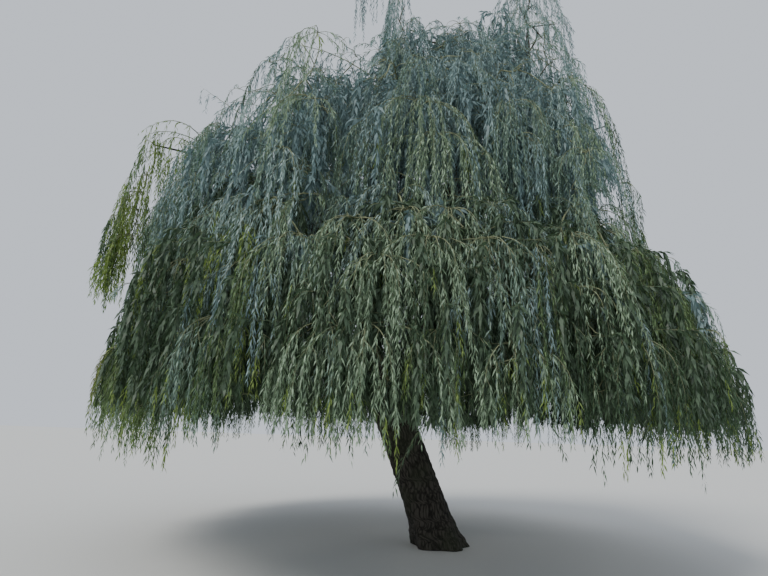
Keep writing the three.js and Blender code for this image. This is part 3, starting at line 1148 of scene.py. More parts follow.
@dataclass
class Branching:
    """The branches that grow on from a limb's tip to every spray of a mass.

    Args:
        tip: Where the limb ends.
        heading: Which way the limb points there.
        radius: The limb's radius there.
    """

    tip: np.ndarray
    heading: np.ndarray
    radius: float
    places: list[np.ndarray] = field(default_factory=list)
    ways: list[np.ndarray] = field(default_factory=list)
    parents: list[int] = field(default_factory=list)
    travelled: list[float] = field(default_factory=list)
    load: list[int] = field(default_factory=list)
    chains: list[list[int]] = field(default_factory=list)

    SPRAY_RADIUS = 0.0075
    SHARE = 0.42  # how fast a branch thickens with the number of sprays that it carries
    STEP = 0.16
    TURNING = 0.45  # how much a turn counts against a branch's start
    DETOUR = 0.22  # how much the way already gone counts against it
    TOWARDS, LIFT = 1.1, 0.35  # how much a branch leaves towards its target, and upwards
    HANDLES = (0.4, 0.35)  # how far its two handles reach, against its length

    def __post_init__(self) -> None:
        """Starts from the tip."""
        self._put(self.tip, unit(self.heading), -1, 0.0)

    def _put(self, place: np.ndarray, way: np.ndarray, parent: int, travelled: float) -> int:
        """Adds a node and returns its number."""
        self.places.append(place)
        self.ways.append(way)
        self.parents.append(parent)
        self.travelled.append(travelled)
        self.load.append(0)
        return len(self.places) - 1

    def grow(self, target: np.ndarray, arrive: np.ndarray) -> None:
        """Grows a branch to a target from the best place on the branches so far.

        Args:
            target: Where it ends.
            arrive: Which way it points there.
        """
        places = np.array(self.places)
        gap = target - places
        distance = np.linalg.norm(gap, axis=1)
        bend = 1 - np.sum(unit(gap) * np.array(self.ways), axis=1)
        cost = distance * (1 + self.TURNING * bend) + self.DETOUR * np.array(self.travelled)
        base = int(np.argmin(cost))
        start, way = places[base], self.ways[base]
        reach = float(distance[base])
        leave = unit(unit(way) + self.TOWARDS * unit(target - start) + self.LIFT * UP)
        near, far = self.HANDLES
        handles = (start + leave * reach * near, target - arrive * reach * far)
        steps = max(2, round(reach / self.STEP))
        chain = [base]
        for i in range(1, steps + 1):
            t = i / steps
            place = (
                (1 - t) ** 3 * start
                + 3 * (1 - t) ** 2 * t * handles[0]
                + 3 * (1 - t) * t * t * handles[1]
                + t**3 * target
            )
            before = self.places[chain[-1]]
            gone = self.travelled[chain[-1]] + float(np.linalg.norm(place - before))
            chain.append(self._put(place, unit(place - before), chain[-1], gone))
        self.chains.append(chain)
        node = chain[-1]
        while node >= 0:
            self.load[node] += 1
            node = self.parents[node]

    def tubes(self) -> list[tuple[np.ndarray, np.ndarray]]:
        """The points and radii of every branch."""
        found = []
        for chain in self.chains:
            points = np.array([self.places[i] for i in chain])
            load = np.array([self.load[i] for i in chain], dtype=float)
            load[0] = load[1]
            radii = np.minimum(self.SPRAY_RADIUS * load**self.SHARE, self.radius)
            found.append((points, radii))
        return found


class Crown:
    """Everything that is known about all the masses together."""

    AXIS = np.array([-0.55, 0.06, 0.0])
    OUTSIDE = 9.0  # a distance from the axis that no mass reaches

    def __init__(self, names: list[str]) -> None:
        """Gathers the masses' triangles for tests between them."""
        self.triangles = {name: triangles_of(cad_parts[name]) for name in names}
        self.trees = {name: tree_of(triangles) for name, triangles in self.triangles.items()}
        self.whole = tree_of(np.concatenate(list(self.triangles.values())))

    def outward(self, place: np.ndarray) -> np.ndarray:
        """The level way out from the crown's middle."""
        return flat(place - self.AXIS)

    def crests(self, name: str) -> list[tuple[np.ndarray, np.ndarray]]:
        """The places on a mass, and the facings there, of the sprays that stand out most."""
        found = []
        for bearing, height in CRESTS:
            turned = math.radians(bearing)
            out = np.array([math.sin(turned), -math.cos(turned), 0.0])
            start = self.AXIS + out * self.OUTSIDE + UP * height
            far = {key: distance_to(tree, start, -out) for key, tree in self.trees.items()}
            first = min(far, key=lambda key: math.inf if far[key] is None else far[key])
            if first == name:
                hit = self.trees[name].ray_cast(Vector(start), Vector(-out))
                found.append((np.array(hit[0]), np.array(hit[1])))
        return found


@dataclass(frozen=True)
class Spray:
    """The end of a branch, from which arches spread.

    Args:
        apex: Where it is.
        out: The level way that it faces.
        facing: Which way the face of the mass looks there.
        bold: Whether it stands out in front of its neighbours.
    """

    apex: np.ndarray
    out: np.ndarray
    facing: np.ndarray
    bold: bool


@dataclass(frozen=True)
class Arch:
    """One arch of a spray, and what its whips have in common.

    Args:
        level: The level way that it goes.
        reach: How far it goes that way.
        rise: How steeply it sets out, in radians.
        drape: How its whips drift from the plumb line at first.
        tint: The tint of its leaves.
        short: How much shorter its whips are than the mass leaves room for.
    """

    level: np.ndarray
    reach: float
    rise: float
    drape: np.ndarray
    tint: Tint
    short: float


class FoliageMass:
    """One mass of foliage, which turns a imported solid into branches, arches, whips and leaves.

    Args:
        name: The mass's node name.
        crown: All the masses.
        axis: The middle line of the limb that carries it.
    """

    # Where sprays stand
    CANDIDATES = 1800
    UNDERSIDE = -0.45  # a face that looks down more than this gets none
    INWARD = -0.25  # a face that looks inwards more than this keeps a share of them
    INWARD_KEPT = 0.4
    CLOSE = 0.55  # a face with another mass as close as this keeps a share of them
    CLOSE_KEPT = 0.35
    INSET = (0.42, 0.14)  # how far inside an upright face and a level face they stand
    THIN = 0.45  # the most of the mass's thickness that they stand inside its face
    LEVEL = (0.1, 0.6)  # how far up a face looks before sprays on it stand lower
    FLATTENED = np.array([1.0, 1.0, 0.8])  # how much a gap between them counts each way
    LEAST_DROP = 0.3  # the room that they need below, if nothing may hang past the foot
    BOLD_INSET = 0.3
    BOLD = 0.18  # the share of them that stand out

    # How arches spread and whips hang
    ARCHES = 4
    DOMED = 0.75  # a face that looks up more than this has arches all round
    FAN = (1.15, 2.6)  # how far to either side arches go on an upright and a domed face
    SCATTER = 0.18  # how far they stray from an even fan, in radians
    ARCH_REACH = (0.14, 0.95)
    SPARE = (-0.16, 0.03)  # how much less or more than the room for them they take
    RISE = (0.25, 0.75)  # how steeply they set out, in radians
    DOMED_RISE = 0.35  # how much steeper on a domed face
    BOLD_RISE = (-0.1, 0.3)  # how steeply on a bold spray of the two lower tiers
    BOLD_REACH = 0.12  # how much further they go on a bold spray above the skirt
    STRAY = (0.05, 0.18)  # the share of arches in the upper tier that reach out, and how far
    STEADY = 0.85  # the share of arches with the main tint of their spray
    FIRST = (0.08, 0.2)  # how far along an arch its first whip hangs
    ASIDE = (0.3, 1.1)  # how far to the side a whip sets out
    RAISED = (0.0, 0.35)  # how far upwards
    STRAGGLING = 2.2  # how few whips use the whole overhang
    UNEVEN = (-0.10, 0.06)  # how far short of the foot or past it whips end
    BUNCHES = (2.1, 0.34)  # how close together the bunches of the hem are, and how deep
    FEET = (0.0, 0.15, 0.35)  # how far inwards the foot of the mass is looked for
    SHORTEST = 0.22
    LEAN = (0.07, 0.11)  # how far a whip usually leans, and at most
    DRAPE = (0.5, 0.34)  # how far whips on a level face lean outwards, and at most
    SHORT = (-0.28, 0.42)  # the least and most that the whips of a spray are shorter
    CURL = (0.09, 0.24)  # how soon they turn down
    WHIP_RADIUS = 0.0032
    LONE_RADIUS = 0.0048  # that of an arch without whips
    ARCH_RADIUS = (0.0052, 0.0075)  # that of a plain arch and a bold one
    ARCH_BARE = (0.12, 0.32)  # how much of each has no leaves
    LONG_RADIUS = 0.011
    UPWARDS = 0.3  # how far upwards branches and shaded whips set out

    # How shaded whips stand
    INNER_CANDIDATES = 1800
    SEAM = (3.1, 5.2)  # where the skirt and the middle tier meet
    SEAM_SPACING = 0.22  # how far apart they are there, in the back half
    MARGIN = 0.16  # how far from any face of the mass they start
    INNER_LENGTHS = (0.25, 0.7, 1.6)  # the least that is grown, and the shortest and longest
    INNER_WHIPS = 4
    INNER_CURL, INNER_RADIUS = 0.35, 0.004

    # How tints are dealt out, with painted light, shade and haze
    # Yellow-green tints of painted sunlight, low down on the sunny left.
    PAINTED_SUN_TINTS = np.array((0.18, 0.02, 0.62, 0.02, 0.15, 0.01))
    SUN = (0.65, (1.6, 4.2), (4.6, 6.0))  # the share of the painted sunlight, from where to the left, up to where
    # Paler tints: painted light on the upper part of the skirt.
    PAINTED_LIGHT_TINTS = np.array((0.10, 0.34, 0.24, 0.31, 0.0, 0.01))
    LIFT = (3.3, 4.8)  # the heights between which the skirt turns brighter with painted light
    # Deeper tints: painted shade low down on the side away from the sun.
    PAINTED_SHADE_TINTS = np.array((0.58, 0.18, 0.22, 0.01, 0.0, 0.01))
    PAINTED_SHADE_SIDE = (0.8, 3.2)  # from where to the right the tints are deeper with painted shade
    PAINTED_SHADE_HEIGHT = (3.2, 5.0)  # up to where
    COOL = (2.8, 4.6)  # the heights between which the leaves turn greyer, as the first step of the painted haze
    INNER_HAZE = (3.4, 6.6)  # the heights between which the shaded leaves turn bluish, with painted haze

    def __init__(self, name: str, crown: Crown, axis: LimbAxis) -> None:
        """Looks at the solid and its limb."""
        self.name = name
        self.crown = crown
        self.tier = Tier.of(name)
        self.habit = self.tier.value
        self.random = np.random.default_rng(
            sum(ord(letter) * 7**i for i, letter in enumerate(name)) % 2**32
        )
        self.triangles = crown.triangles[name]
        self.tree = crown.trees[name]
        self.branching = Branching(
            axis.points[-1], axis.points[-1] - axis.points[-3], float(axis.radii[-1])
        )
        self.shoots: list[Shoot] = []
        self.inner: list[Shoot] = []

    def grow(self) -> None:
        """Places the sprays and grows branches, arches and whips to them."""
        sprays = self._sprays()
        for i in self._outwards(np.array([spray.apex for spray in sprays])):
            self.branching.grow(sprays[i].apex, unit(sprays[i].out + self.UPWARDS * UP))
            self._spread(sprays[i])
        for arch in LONG_ARCHES:
            if arch.mass == self.name:
                self._long_arch(arch)
        if self.habit.depth is not None:
            self._shade()

    def _outwards(self, places: np.ndarray) -> np.ndarray:
        """The order of places by how far they are from the limb's tip."""
        return np.argsort(np.linalg.norm(places - self.branching.tip, axis=1))

    def _candidates(self) -> tuple[np.ndarray, np.ndarray]:
        """Random places on the faces of the mass, and which way they face."""
        a, b, c = (self.triangles[:, i] for i in range(3))
        cross = np.cross(b - a, c - a)
        area = np.linalg.norm(cross, axis=1)
        picks = self.random.choice(len(area), self.CANDIDATES, p=area / area.sum())
        u, v = self.random.random((2, self.CANDIDATES))
        over = u + v > 1
        u[over], v[over] = 1 - u[over], 1 - v[over]
        places = a[picks] + u[:, None] * (b - a)[picks] + v[:, None] * (c - a)[picks]
        return places, unit(cross)[picks]

    def _sprays(self) -> list[Spray]:
        """Sprays just inside the open faces of the mass, evenly apart."""
        found = [
            Spray(place - facing * self.BOLD_INSET, flat(facing), facing, True)
            for place, facing in self.crown.crests(self.name)
        ]
        stands = np.array([spray.apex for spray in found]).reshape(-1, 3)
        for place, facing in zip(*self._candidates()):
            if not self._open(place, facing):
                continue
            stand = place - facing * self._inset(place, facing)
            sunk = self.random.uniform(*self.habit.sunk)
            stand[2] -= sunk * smoothstep(float(facing[2]), *self.LEVEL)
            near = np.linalg.norm((stands - stand) * self.FLATTENED, axis=1)
            if len(stands) and near.min() < self.habit.spacing:
                continue
            needed = self.LEAST_DROP - self.habit.overhang * self.LEAST_DROP
            if stand[2] - self._foot(stand) < needed:
                continue
            slope = flat(facing) * math.hypot(facing[0], facing[1])
            out = unit(slope + 0.4 * self.crown.outward(stand))
            stands = np.concatenate([stands, stand[None]])
            found.append(Spray(stand, out, facing, self.random.random() < self.BOLD))
        return found

    def _open(self, place: np.ndarray, facing: np.ndarray) -> bool:
        """Whether a place on the face of the mass gets a spray."""
        if facing[2] < self.UNDERSIDE:
            return False
        inward = facing @ self.crown.outward(place) < self.INWARD
        if inward and self.random.random() > self.INWARD_KEPT:
            return False
        start = Vector(place + facing * 0.03)
        hit = self.crown.whole.ray_cast(start, Vector(facing), self.CLOSE)
        return hit[0] is None or self.random.random() < self.CLOSE_KEPT

    def _inset(self, place: np.ndarray, facing: np.ndarray) -> float:
        """How far inside a face a spray stands, which is less where the mass is thin."""
        steep = 1.0 - max(0.0, float(facing[2]))
        deep = self.INSET[1] + (self.INSET[0] - self.INSET[1]) * steep
        thickness = distance_to(self.tree, place - facing * 0.01, -facing)
        return deep if thickness is None else min(deep, self.THIN * thickness)

    def _foot(self, place: np.ndarray) -> float:
        """The height at which the mass ends under a place."""
        feet = []
        for inward in self.FEET:
            spot = place - self.crown.outward(place) * inward
            hit = self.tree.ray_cast(Vector(spot), Vector(DOWN))
            if hit[0] is not None and hit[1].z < 0:
                feet.append(hit[0].z)
        return min(feet, default=float(place[2]))

    def _tint(self, place: np.ndarray) -> Tint:
        """Deals out a tint, by height and by the side that the sun is on, with painted light and
        shade: painted haze high up, painted sunlight on the sunny left, painted shade low on the
        far side and painted light on the skirt's upper part.
        """
        # Painted sunlight, painted light and painted shade shift the weights of the tints.
        most, side, height = self.SUN
        sun = most * smoothstep(-place[0], *side) * (1 - smoothstep(place[2], *height))
        painted_shade = self._painted_shade(place)
        painted_light = smoothstep(place[2], *self.LIFT) if self.tier is Tier.SKIRT else 0.0
        weights = np.array(self.habit.tints)
        for share, dealt in ((painted_light, self.PAINTED_LIGHT_TINTS), (sun, self.PAINTED_SUN_TINTS), (painted_shade, self.PAINTED_SHADE_TINTS)):
            weights = weights * (1 - share) + dealt * share
        tint = list(Tint)[self.random.choice(len(weights), p=weights / weights.sum())]
        if self.tier in (Tier.STRAND_LEFT, Tier.STRAND_RIGHT):
            return tint
        # Painted haze high up, weaker where there is painted shade, with greyer tints below it.
        chance = self.random.random() / (1 - 0.5 * painted_shade)
        if chance < smoothstep(place[2], *self.habit.haze):
            return tint.hazed()
        return tint.cooled() if chance < smoothstep(place[2], *self.COOL) else tint

    def _painted_shade(self, place: np.ndarray) -> float:
        """How much painted shade deepens the tints, low down on the side away from the sun."""
        low = 1 - smoothstep(place[2], *self.PAINTED_SHADE_HEIGHT)
        return smoothstep(place[0], *self.PAINTED_SHADE_SIDE) * low

    def _room(self, apex: np.ndarray, level: np.ndarray) -> float:
        """How far the mass reaches from a place, one way."""
        room = distance_to(self.tree, apex, level)
        return 0.2 if room is None else room

    def _spread(self, spray: Spray) -> None:
        """Spreads arches from a spray, and hangs whips along them."""
        habit, random = self.habit, self.random
        main = self._tint(spray.apex)
        # A bold spray often gets a paler tint: a painted highlight on the crests, rarer where
        # there is painted shade.
        if spray.bold and random.random() < 0.5 * (1 - self._painted_shade(spray.apex)):
            main = Tint.FROST if main in (Tint.MIST, Tint.SLATE) else Tint.SILVER
        bearing = math.atan2(spray.out[1], spray.out[0])
        domed = bool(spray.facing[2] > self.DOMED)
        count = self.ARCHES + 2 * spray.bold
        drape = min(self.DRAPE[1], max(0.0, self.DRAPE[0] * float(spray.facing[2])))
        short = random.uniform(*self.SHORT)
        fan = np.linspace(-self.FAN[domed], self.FAN[domed], count)
        for turn in fan + random.normal(0, self.SCATTER, count):
            level = level_way(bearing + turn)
            room = self._room(spray.apex, level)
            stray = self.tier is Tier.UPPER and random.random() < self.STRAY[0]
            room += random.uniform(*self.SPARE)
            reach = min(max(room, self.ARCH_REACH[0]), self.ARCH_REACH[1]) * habit.spread
            outside = spray.bold and self.tier is not Tier.SKIRT
            reach += self.BOLD_REACH * outside + self.STRAY[1] * stray
            tint = main if random.random() < self.STEADY else self._tint(spray.apex)
            rise = random.uniform(*self.RISE) + self.DOMED_RISE * domed
            if spray.bold and self.tier in (Tier.SKIRT, Tier.MIDDLE):
                reach, rise = reach + 0.1, random.uniform(*self.BOLD_RISE)
            self._arch(spray, Arch(level, reach, rise, level * drape, tint, short))

    def _arch(self, spray: Spray, arch: Arch) -> None:
        """Grows one arch with the whips along it, the last of them at its end."""
        random = self.random
        bend = arched(spray.apex, arch.level, arch.reach, arch.rise)
        tail = self._whip(bend[-1], unit(bend[-1] - bend[-2]), arch)
        if tail is None:
            bare = self.ARCH_BARE[False]
            self.shoots.append(Shoot(bend, self.LONE_RADIUS, arch.tint, arch.tint, bare))
            return
        tail.points = np.concatenate([bend[:-1], tail.points])
        tail.radius, tail.bare = self.ARCH_RADIUS[spray.bold], self.ARCH_BARE[spray.bold]
        self.shoots.append(tail)
        side = np.cross(UP, arch.level)
        first = random.uniform(*self.FIRST) + 0.12 * spray.bold
        for i, (start, ahead) in enumerate(Line(bend).stands(first, self.habit.gap)):
            way = side * (1 if i % 2 else -1) * random.uniform(*self.ASIDE)
            heading = unit(ahead + way + UP * random.uniform(*self.RAISED))
            whip = self._whip(start, heading, arch)
            if whip is not None:
                self.shoots.append(whip)

    def _whip(self, start: np.ndarray, heading: np.ndarray, arch: Arch) -> Shoot | None:
        """Hangs one whip, unless there is no room for it or the sky shows there."""
        habit, random = self.habit, self.random
        for gap in SKY_GAPS:
            if gap.holds(start) and random.random() > gap.kept:
                return None
        past = habit.overhang * random.random() ** self.STRAGGLING
        most = start[2] - self._foot(start) + random.uniform(*self.UNEVEN) - arch.short + past
        most += self._bunch(start)
        length = min(random.uniform(*habit.lengths), most)
        if length < self.SHORTEST:
            return None
        usual, limit = self.LEAN
        stray = np.clip(random.normal(0, usual, 2), -limit, limit)
        lean = arch.drape + np.append(stray, 0.0)
        points = hanging(start, heading, length + 0.1, random.uniform(*self.CURL), lean)
        points = short_of_gaps(points)
        if len(points) < 3:
            return None
        low = length > most - 0.05
        fresh = random.random() < habit.tips * (1.0 if low else 0.3)
        return Shoot(points, self.WHIP_RADIUS, arch.tint, Tint.FRESH if fresh else arch.tint)

    def _bunch(self, place: np.ndarray) -> float:
        """How much lower the hem is at a place, so that neighbouring whips end in bunches."""
        close, deep = self.BUNCHES
        return deep * noise.noise(Vector((place[0], place[1], 0.0)) * close)

    def _long_arch(self, arch: LongArch) -> None:
        """Grows a long arch, with its whips."""
        random = self.random
        line = Line(arch.line())
        self.branching.grow(line.points[0], unit(line.points[1] - line.points[0]))
        self.shoots.append(
            Shoot(line.points, self.LONG_RADIUS, arch.tint, arch.tint, bare=0.5, fullness=0.5)
        )
        for start, ahead in line.stands(0.25, arch.gap):
            heading = unit(ahead + np.append(random.normal(0, 0.7, 2), 0.1))
            length = random.uniform(*arch.lengths)
            lean = np.append(random.normal(0, 0.05, 2), 0.0)
            points = hanging(start, heading, length, 0.08, lean)
            self.shoots.append(
                Shoot(points, 0.003, arch.tint, arch.tint, bare=0.03, fullness=0.8)
            )

    def _inside(self, place: np.ndarray) -> bool:
        """Whether a place is deep enough inside the mass for shaded whips."""
        above = self.tree.ray_cast(Vector(place), Vector(UP))
        if above[0] is None or above[1].z < 0:
            return False
        return (
            self.tree.find_nearest(Vector(place))[3] > self.MARGIN
            and self._room(place, self.crown.outward(place)) > self.habit.depth
        )

    def _inner_stands(self) -> np.ndarray:
        """Places all through the inside of the mass, evenly apart."""
        low, high = self.triangles.min(axis=(0, 1)), self.triangles.max(axis=(0, 1))
        stands = np.empty((0, 3))
        for place in low + self.random.random((self.INNER_CANDIDATES, 3)) * (high - low):
            near = np.linalg.norm(stands - place, axis=1)
            seam = place[1] > 0.3 and self.SEAM[0] < place[2] < self.SEAM[1]
            spacing = self.SEAM_SPACING if seam else self.habit.inner_spacing
            if len(stands) and near.min() < spacing:
                continue
            kept = min((gap.kept for gap in SKY_GAPS if gap.holds(place)), default=2.0)
            if self._inside(place) and self.random.random() < kept - 0.5:
                stands = np.concatenate([stands, place[None]])
        return stands

    def _shade(self) -> None:
        """Grows branches through the inside of the mass, and hangs shaded whips from them."""
        random = self.random
        stands = self._inner_stands()
        least, *lengths = self.INNER_LENGTHS
        for place in stands[self._outwards(stands)]:
            angle = random.uniform(0, 2 * math.pi)
            self.branching.grow(place, level_way(angle))
            # High up the shaded leaves take a paler bluish tint: painted haze.
            hazy = random.random() < smoothstep(place[2], *self.INNER_HAZE)
            tint = Tint.DUSK if hazy else Tint.SHADE
            drop = place[2] - self._foot(place) + 0.45 * self.habit.overhang - 0.15
            for turn in angle + np.arange(self.INNER_WHIPS) * math.pi / 2:
                length = min(random.uniform(*lengths), drop)
                if length > least:
                    heading = unit(level_way(turn) + self.UPWARDS * UP)
                    points = hanging(place, heading, length + 0.15, self.INNER_CURL, np.zeros(3))
                    points = short_of_gaps(points)
                    if len(points) > 2:
                        self.inner.append(Shoot(points, self.INNER_RADIUS, tint, tint))


@dataclass(frozen=True)
class LeafShape:
    """A narrow leaf.

    Args:
        length: Its usual length.
        width: Its usual width.
        outline: Its corners, as shares of the length along it and of half the width across.
    """

    length: float
    width: float
    outline: tuple[tuple[float, float], ...]

    TRIANGLES = ((0, 2, 1), (1, 2, 3))  # the corners of each
    DROOP = 0.24  # how far its tip hangs, against its length
    CUP = 0.3  # how far its edges are raised, against half its width

    def leaves(
        self, bases: np.ndarray, ways: np.ndarray, faces: np.ndarray, sizes: np.ndarray
    ) -> tuple[np.ndarray, np.ndarray]:
        """Builds leaves.

        Args:
            bases: Where they are joined on.
            ways: Which way they point.
            faces: Which way their blades face, roughly.
            sizes: How big each is against the usual size.

        Returns:
            Their corners and triangles.
        """
        across = unit(np.cross(ways, faces))
        facing = np.cross(across, ways)
        length = (self.length * sizes)[:, None]
        half = (self.width * np.sqrt(sizes))[:, None] / 2
        corners = [
            bases
            + ways * length * along
            + DOWN * length * self.DROOP * along**2
            + across * half * share
            + facing * half * self.CUP * abs(share)
            for along, share in self.outline
        ]
        vertices = np.stack(corners, axis=1)
        index = np.array(self.TRIANGLES)[None]
        index = index + len(self.outline) * np.arange(len(bases))[:, None, None]
        return vertices.reshape(-1, 3), index.reshape(-1, 3)


SICKLE = LeafShape(0.089, 0.0172, ((0.0, 0.0), (0.34, -1.0), (0.46, 1.0), (1.0, 0.3)))
KITE = LeafShape(0.142, 0.040, ((0.0, 0.0), (0.38, -1.0), (0.38, 1.0), (1.0, 0.0)))


class Foliage:
    """The twigs and leaves of the whole crown, gathered by kind and tint.

    Args:
        masses: The masses, already grown.
    """

    LEAVES = 370_000
    INNER_LEAVES = 182_000
    YOUNG = 0.013  # the radius up to which a branch still has the bark of a whip
    TIP_RADIUS = 0.0013
    FRESH_TIP = 0.36  # how much of a whip has the tint of its tip
    FEWEST = 4  # the fewest leaves on a shoot
    TURN = 2.4  # how far round the shoot each leaf stands from the last, in radians
    OPENING = (0.3, 0.95)  # the least and most angle between leaf and shoot, in radians
    HANG = 0.35  # how much leaves turn down
    SIZES = (0.75, 1.2)
    SEED = 11

    def __init__(self, masses: list[FoliageMass]) -> None:
        """Prepares a bundle for each kind of piece."""
        self.masses = masses
        self.branches = Bundle("branches", "bark", BRANCH.make())
        self.whips = Bundle("whips", "bark", WHIP.make())
        self.leaves = {
            tint: Bundle(f"leaves_{tint.name.lower()}", "leaves", tint.value.make(), smooth=False)
            for tint in Tint
        }
        self.random = np.random.default_rng(self.SEED)

    def build(self) -> None:
        """Makes every piece."""
        for mass in self.masses:
            self.branches.nodes.append(mass.name)
            for points, radii in mass.branching.tubes():
                young = radii.max() < self.YOUNG
                bundle = self.whips if young else self.branches
                bundle.add(*tube(points, radii[:-1], 4 if young else 5))
        outer = [shoot for mass in self.masses for shoot in mass.shoots]
        inner = [shoot for mass in self.masses for shoot in mass.inner]
        self._clothe(outer, SICKLE, self.LEAVES)
        self._clothe(inner, KITE, self.INNER_LEAVES)
        total = 0
        for bundle in [self.branches, self.whips, *self.leaves.values()]:
            bundle.close()
            total += bundle.total
            LOG.info("%s: %d triangles", bundle.name, bundle.total)
        LOG.info("foliage: %d triangles", total)

    def _clothe(self, shoots: list[Shoot], shape: LeafShape, count: int) -> None:
        """Makes shoots and puts leaves on them.

        Args:
            shoots: The shoots.
            shape: The leaf.
            count: How many leaves there are on all of them together.
        """
        lines = [Line(shoot.points) for shoot in shoots]
        leafy = [
            max(0.1, line.length - shoot.bare) * shoot.fullness
            for line, shoot in zip(lines, shoots)
        ]
        gap = sum(leafy) / count
        LOG.info("%d shoots, %.0f m, a leaf every %.1f mm", len(shoots), sum(leafy), gap * 1000)
        for shoot, line, length in zip(shoots, lines, leafy):
            radii = np.linspace(shoot.radius, self.TIP_RADIUS, len(shoot.points) - 1)
            self.whips.add(*tube(shoot.points, radii, 3))
            self._leaf(shoot, line, shape, max(self.FEWEST, round(length / gap)))

    def _leaf(self, shoot: Shoot, line: Line, shape: LeafShape, count: int) -> None:
        """Puts the leaves on one shoot."""
        random = self.random
        step = (line.length - shoot.bare) / count
        distances = shoot.bare + (np.arange(count) + random.uniform(0.1, 1.0, count)) * step
        bases, _ = line.at(distances)
        ahead, _ = line.at(np.minimum(distances + line.AHEAD, line.length))
        behind, _ = line.at(np.maximum(distances - line.AHEAD, 0.0))
        forward = unit(ahead - behind)
        turn = np.arange(count) * self.TURN + random.uniform(0, 6.28)
        turn += random.normal(0, 0.4, count)
        first = unit(np.cross(forward, np.array([0.31, 0.95, 0.05])))
        second = np.cross(forward, first)
        out = first * np.cos(turn)[:, None] + second * np.sin(turn)[:, None]
        opening = random.uniform(*self.OPENING, count)[:, None]
        ways = unit(forward * np.cos(opening) + out * np.sin(opening) + DOWN * self.HANG)
        faces = unit(out + 0.5 * UP + random.normal(0, 0.55, (count, 3)))
        share = distances / line.length
        sizes = random.uniform(*self.SIZES, count) * (0.78 + 0.36 * np.sin(math.pi * share**0.7))
        tip = distances > line.length - self.FRESH_TIP
        for part, tint in ((~tip, shoot.tint), (tip, shoot.tip)):
            if part.any():
                made = shape.leaves(bases[part], ways[part], faces[part], sizes[part])
                self.leaves[tint].add(*made)


# The tree


@dataclass
class Willow:
    """The whole tree.

    Args:
        trunk: The trunk's node name.
        fork: The middle of the fork.
        step: How far apart the cuts across a limb are.
        thickest: How far from a limb's middle line its own faces lie at most.
        sink: How far a limb's bark runs on into the limb that it springs from.
        cap_reach: How far the corners of a limb's end lie apart at most.
        thin_reach: Over how long a stretch a limb thins to its tip, and one that carries a strand.
        thin_share: How much of its radius is left there.
    """

    trunk: str = "trunk"
    fork: tuple[float, float, float] = (-1.02, 0.06, 2.55)
    step: float = 0.12
    thickest: float = 0.34
    sink: float = 0.16
    cap_reach: float = 0.15
    thin_reach: tuple[float, float] = (0.9, 2.4)
    thin_share: float = 0.36
    axes: dict[str, LimbAxis] = field(default_factory=dict)

    TRUNK_CUTS = 40
    NEAREST = 64  # how many corners of the trunk give the middle of a cut
    TRUNK_RADIUS = 0.38
    BARK_SEED = 7
    TRUNK_BARK = {"sides": 224, "ring_gap": 0.018, "plate": 0.052, "depth": 0.045}
    LEADER_BARK = {"sides": 60, "ring_gap": 0.04, "plate": 0.045, "depth": 0.07}
    BOUGH_BARK = {"sides": 28, "ring_gap": 0.06, "plate": 0.035, "depth": 0.07}

    def names(self, *starts: str) -> list[str]:
        """The nodes whose names start with one of these words."""
        return sorted(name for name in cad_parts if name.split("_")[0] in starts)

    def measure(self) -> None:
        """Finds the middle line of every leader and bough."""
        for name in self.names("leader", "bough"):
            corners = triangles_of(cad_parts[name]).reshape(-1, 3)
            if name.startswith("leader"):
                tip = corners[np.argmax(corners[:, 2])]
            else:
                away = np.linalg.norm((corners - self.fork) * (1, 1, 0), axis=1)
                tip = corners[np.argmax(away)]
            gaps = np.linalg.norm(corners - tip, axis=1)
            cap = corners[gaps < self.cap_reach].mean(axis=0)
            next_ring = gaps[gaps > self.cap_reach].min() + self.cap_reach
            beyond = corners[(gaps > self.cap_reach) & (gaps < next_ring)].mean(axis=0)
            heading = unit(beyond - cap)
            axis = LimbAxis(name, cap + heading * 0.02, heading, self.step, self.thickest)
            axis.draw_out(self.thin_reach["strand" in name], self.thin_share)
            self.axes[name] = axis
            LOG.info("%s: %d cuts", name, len(axis.points))

    def mass_of(self, limb: str) -> str:
        """The mass that a limb carries."""
        kind, rest = limb.split("_", 1)
        return "top_" + rest if kind == "leader" else rest

    def _trunk_line(self, triangles: np.ndarray) -> Line:
        """The middle line of the trunk, from the corners nearest to each height."""
        low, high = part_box(self.trunk)
        corners = triangles.reshape(-1, 3)
        points = []
        for height in np.linspace(low.z, high.z - 0.012, self.TRUNK_CUTS):
            near = corners[np.argsort(np.abs(corners[:, 2] - height))[: self.NEAREST]]
            points.append([near[:, 0].mean(), near[:, 1].mean(), height])
        return Line(np.array(points), np.full(len(points), self.TRUNK_RADIUS))

    def dress_wood(self) -> None:
        """Gives the trunk and limbs their bark."""
        noise.seed_set(self.BARK_SEED)
        bark = BARK.make()
        triangles = triangles_of(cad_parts[self.trunk])
        line = self._trunk_line(triangles)
        section = tree_of(triangles)
        BarkLimb(self.trunk, line, **self.TRUNK_BARK, section=section).build(bark)
        for name, axis in self.axes.items():
            base = axis.points[0] - unit(axis.points[1] - axis.points[0]) * self.sink
            radii = smoothed(np.concatenate([axis.radii[:1], axis.radii]), 4)
            line = Line(np.concatenate([base[None], axis.points]), radii)
            kind = self.LEADER_BARK if name.startswith("leader") else self.BOUGH_BARK
            BarkLimb(name, line, **kind).build(bark)

    def grow(self) -> None:
        """Grows the foliage in place of every mass."""
        limbs = {self.mass_of(limb): axis for limb, axis in self.axes.items()}
        crown = Crown(sorted(limbs))
        masses = [FoliageMass(name, crown, axis) for name, axis in sorted(limbs.items())]
        for mass in masses:
            mass.grow()
            LOG.info(
                "%s: %d sprays, %d shoots, %d inner",
                mass.name, len(mass.branching.chains), len(mass.shoots), len(mass.inner),
            )
        Foliage(masses).build()


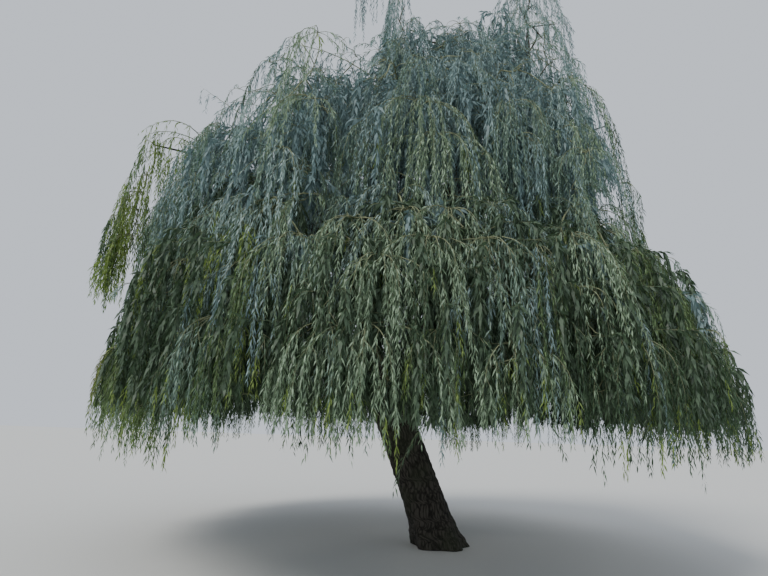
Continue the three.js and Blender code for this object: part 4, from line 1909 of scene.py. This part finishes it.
@dataclass(frozen=True)
class Studio:
    """The floor, the lights and the camera.

    Args:
        eye: Where the camera stands.
        pitch: How far it looks up, in degrees.
        roll: How far it leans, in degrees.
        lens: Its focal length, in millimetres.
    """

    eye: tuple[float, float, float] = tuple(EYE)
    pitch: float = 12.9
    roll: float = 1.9
    lens: float = 27.05

    FLOOR_SIZE = 60.0
    FLOOR_DROP = 0.005  # how far the floor lies under the tree's flat foot
    SKY = (0.80, 0.86, 0.95, 1)
    SKY_STRENGTH = 0.9
    SUNLIGHT = (1.0, 0.97, 0.90)
    SUN_STRENGTH = 1.95
    SUN_WIDTH = 25  # in degrees, as are the next two
    SUN_TILT = 38
    SUN_BEARING = -42

    def build(self) -> None:
        """Sets up the studio."""
        work = bmesh.new()
        bmesh.ops.create_grid(work, x_segments=1, y_segments=1, size=self.FLOOR_SIZE)
        mesh = bpy.data.meshes.new("floor")
        work.to_mesh(mesh)
        work.free()
        mesh.transform(Matrix.Translation((0.0, 0.0, -self.FLOOR_DROP)))
        mesh.materials.append(FLOOR.make())
        floor = placed("floor", mesh)
        self._world()
        self._sun()
        self._camera()

    def _world(self) -> None:
        """A soft pale sky all round."""
        world = bpy.data.worlds.new("studio")
        world.use_nodes = True
        background = world.node_tree.nodes["Background"]
        background.inputs["Color"].default_value = self.SKY
        background.inputs["Strength"].default_value = self.SKY_STRENGTH
        bpy.context.scene.world = world

    def _sun(self) -> None:
        """One broad soft light from high on the left."""
        light = bpy.data.lights.new("key", "SUN")
        light.energy = self.SUN_STRENGTH
        light.angle = math.radians(self.SUN_WIDTH)
        light.color = self.SUNLIGHT
        lamp = placed("key", light)
        lamp.rotation_euler = (math.radians(self.SUN_TILT), 0.0, math.radians(self.SUN_BEARING))

    def _camera(self) -> None:
        """The camera at the photograph's viewing angle."""
        camera = bpy.data.cameras.new("camera")
        camera.lens = self.lens
        camera.sensor_width = 36.0
        camera.clip_end = 500.0
        stand = placed("camera", camera)
        turn = Matrix.Rotation(math.radians(90 + self.pitch), 4, "X")
        lean = Matrix.Rotation(math.radians(self.roll), 4, "Z")
        stand.matrix_world = Matrix.Translation(self.eye) @ turn @ lean
        bpy.context.scene.camera = stand


def write_sizes() -> None:
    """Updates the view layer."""
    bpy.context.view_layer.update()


def main() -> None:
    """Builds the tree and the studio."""
    logging.basicConfig(level=logging.INFO, format="%(message)s")
    Studio().build()
    willow = Willow()
    willow.measure()
    willow.dress_wood()
    willow.grow()
    write_sizes()


if __name__ == "__main__":
    main()
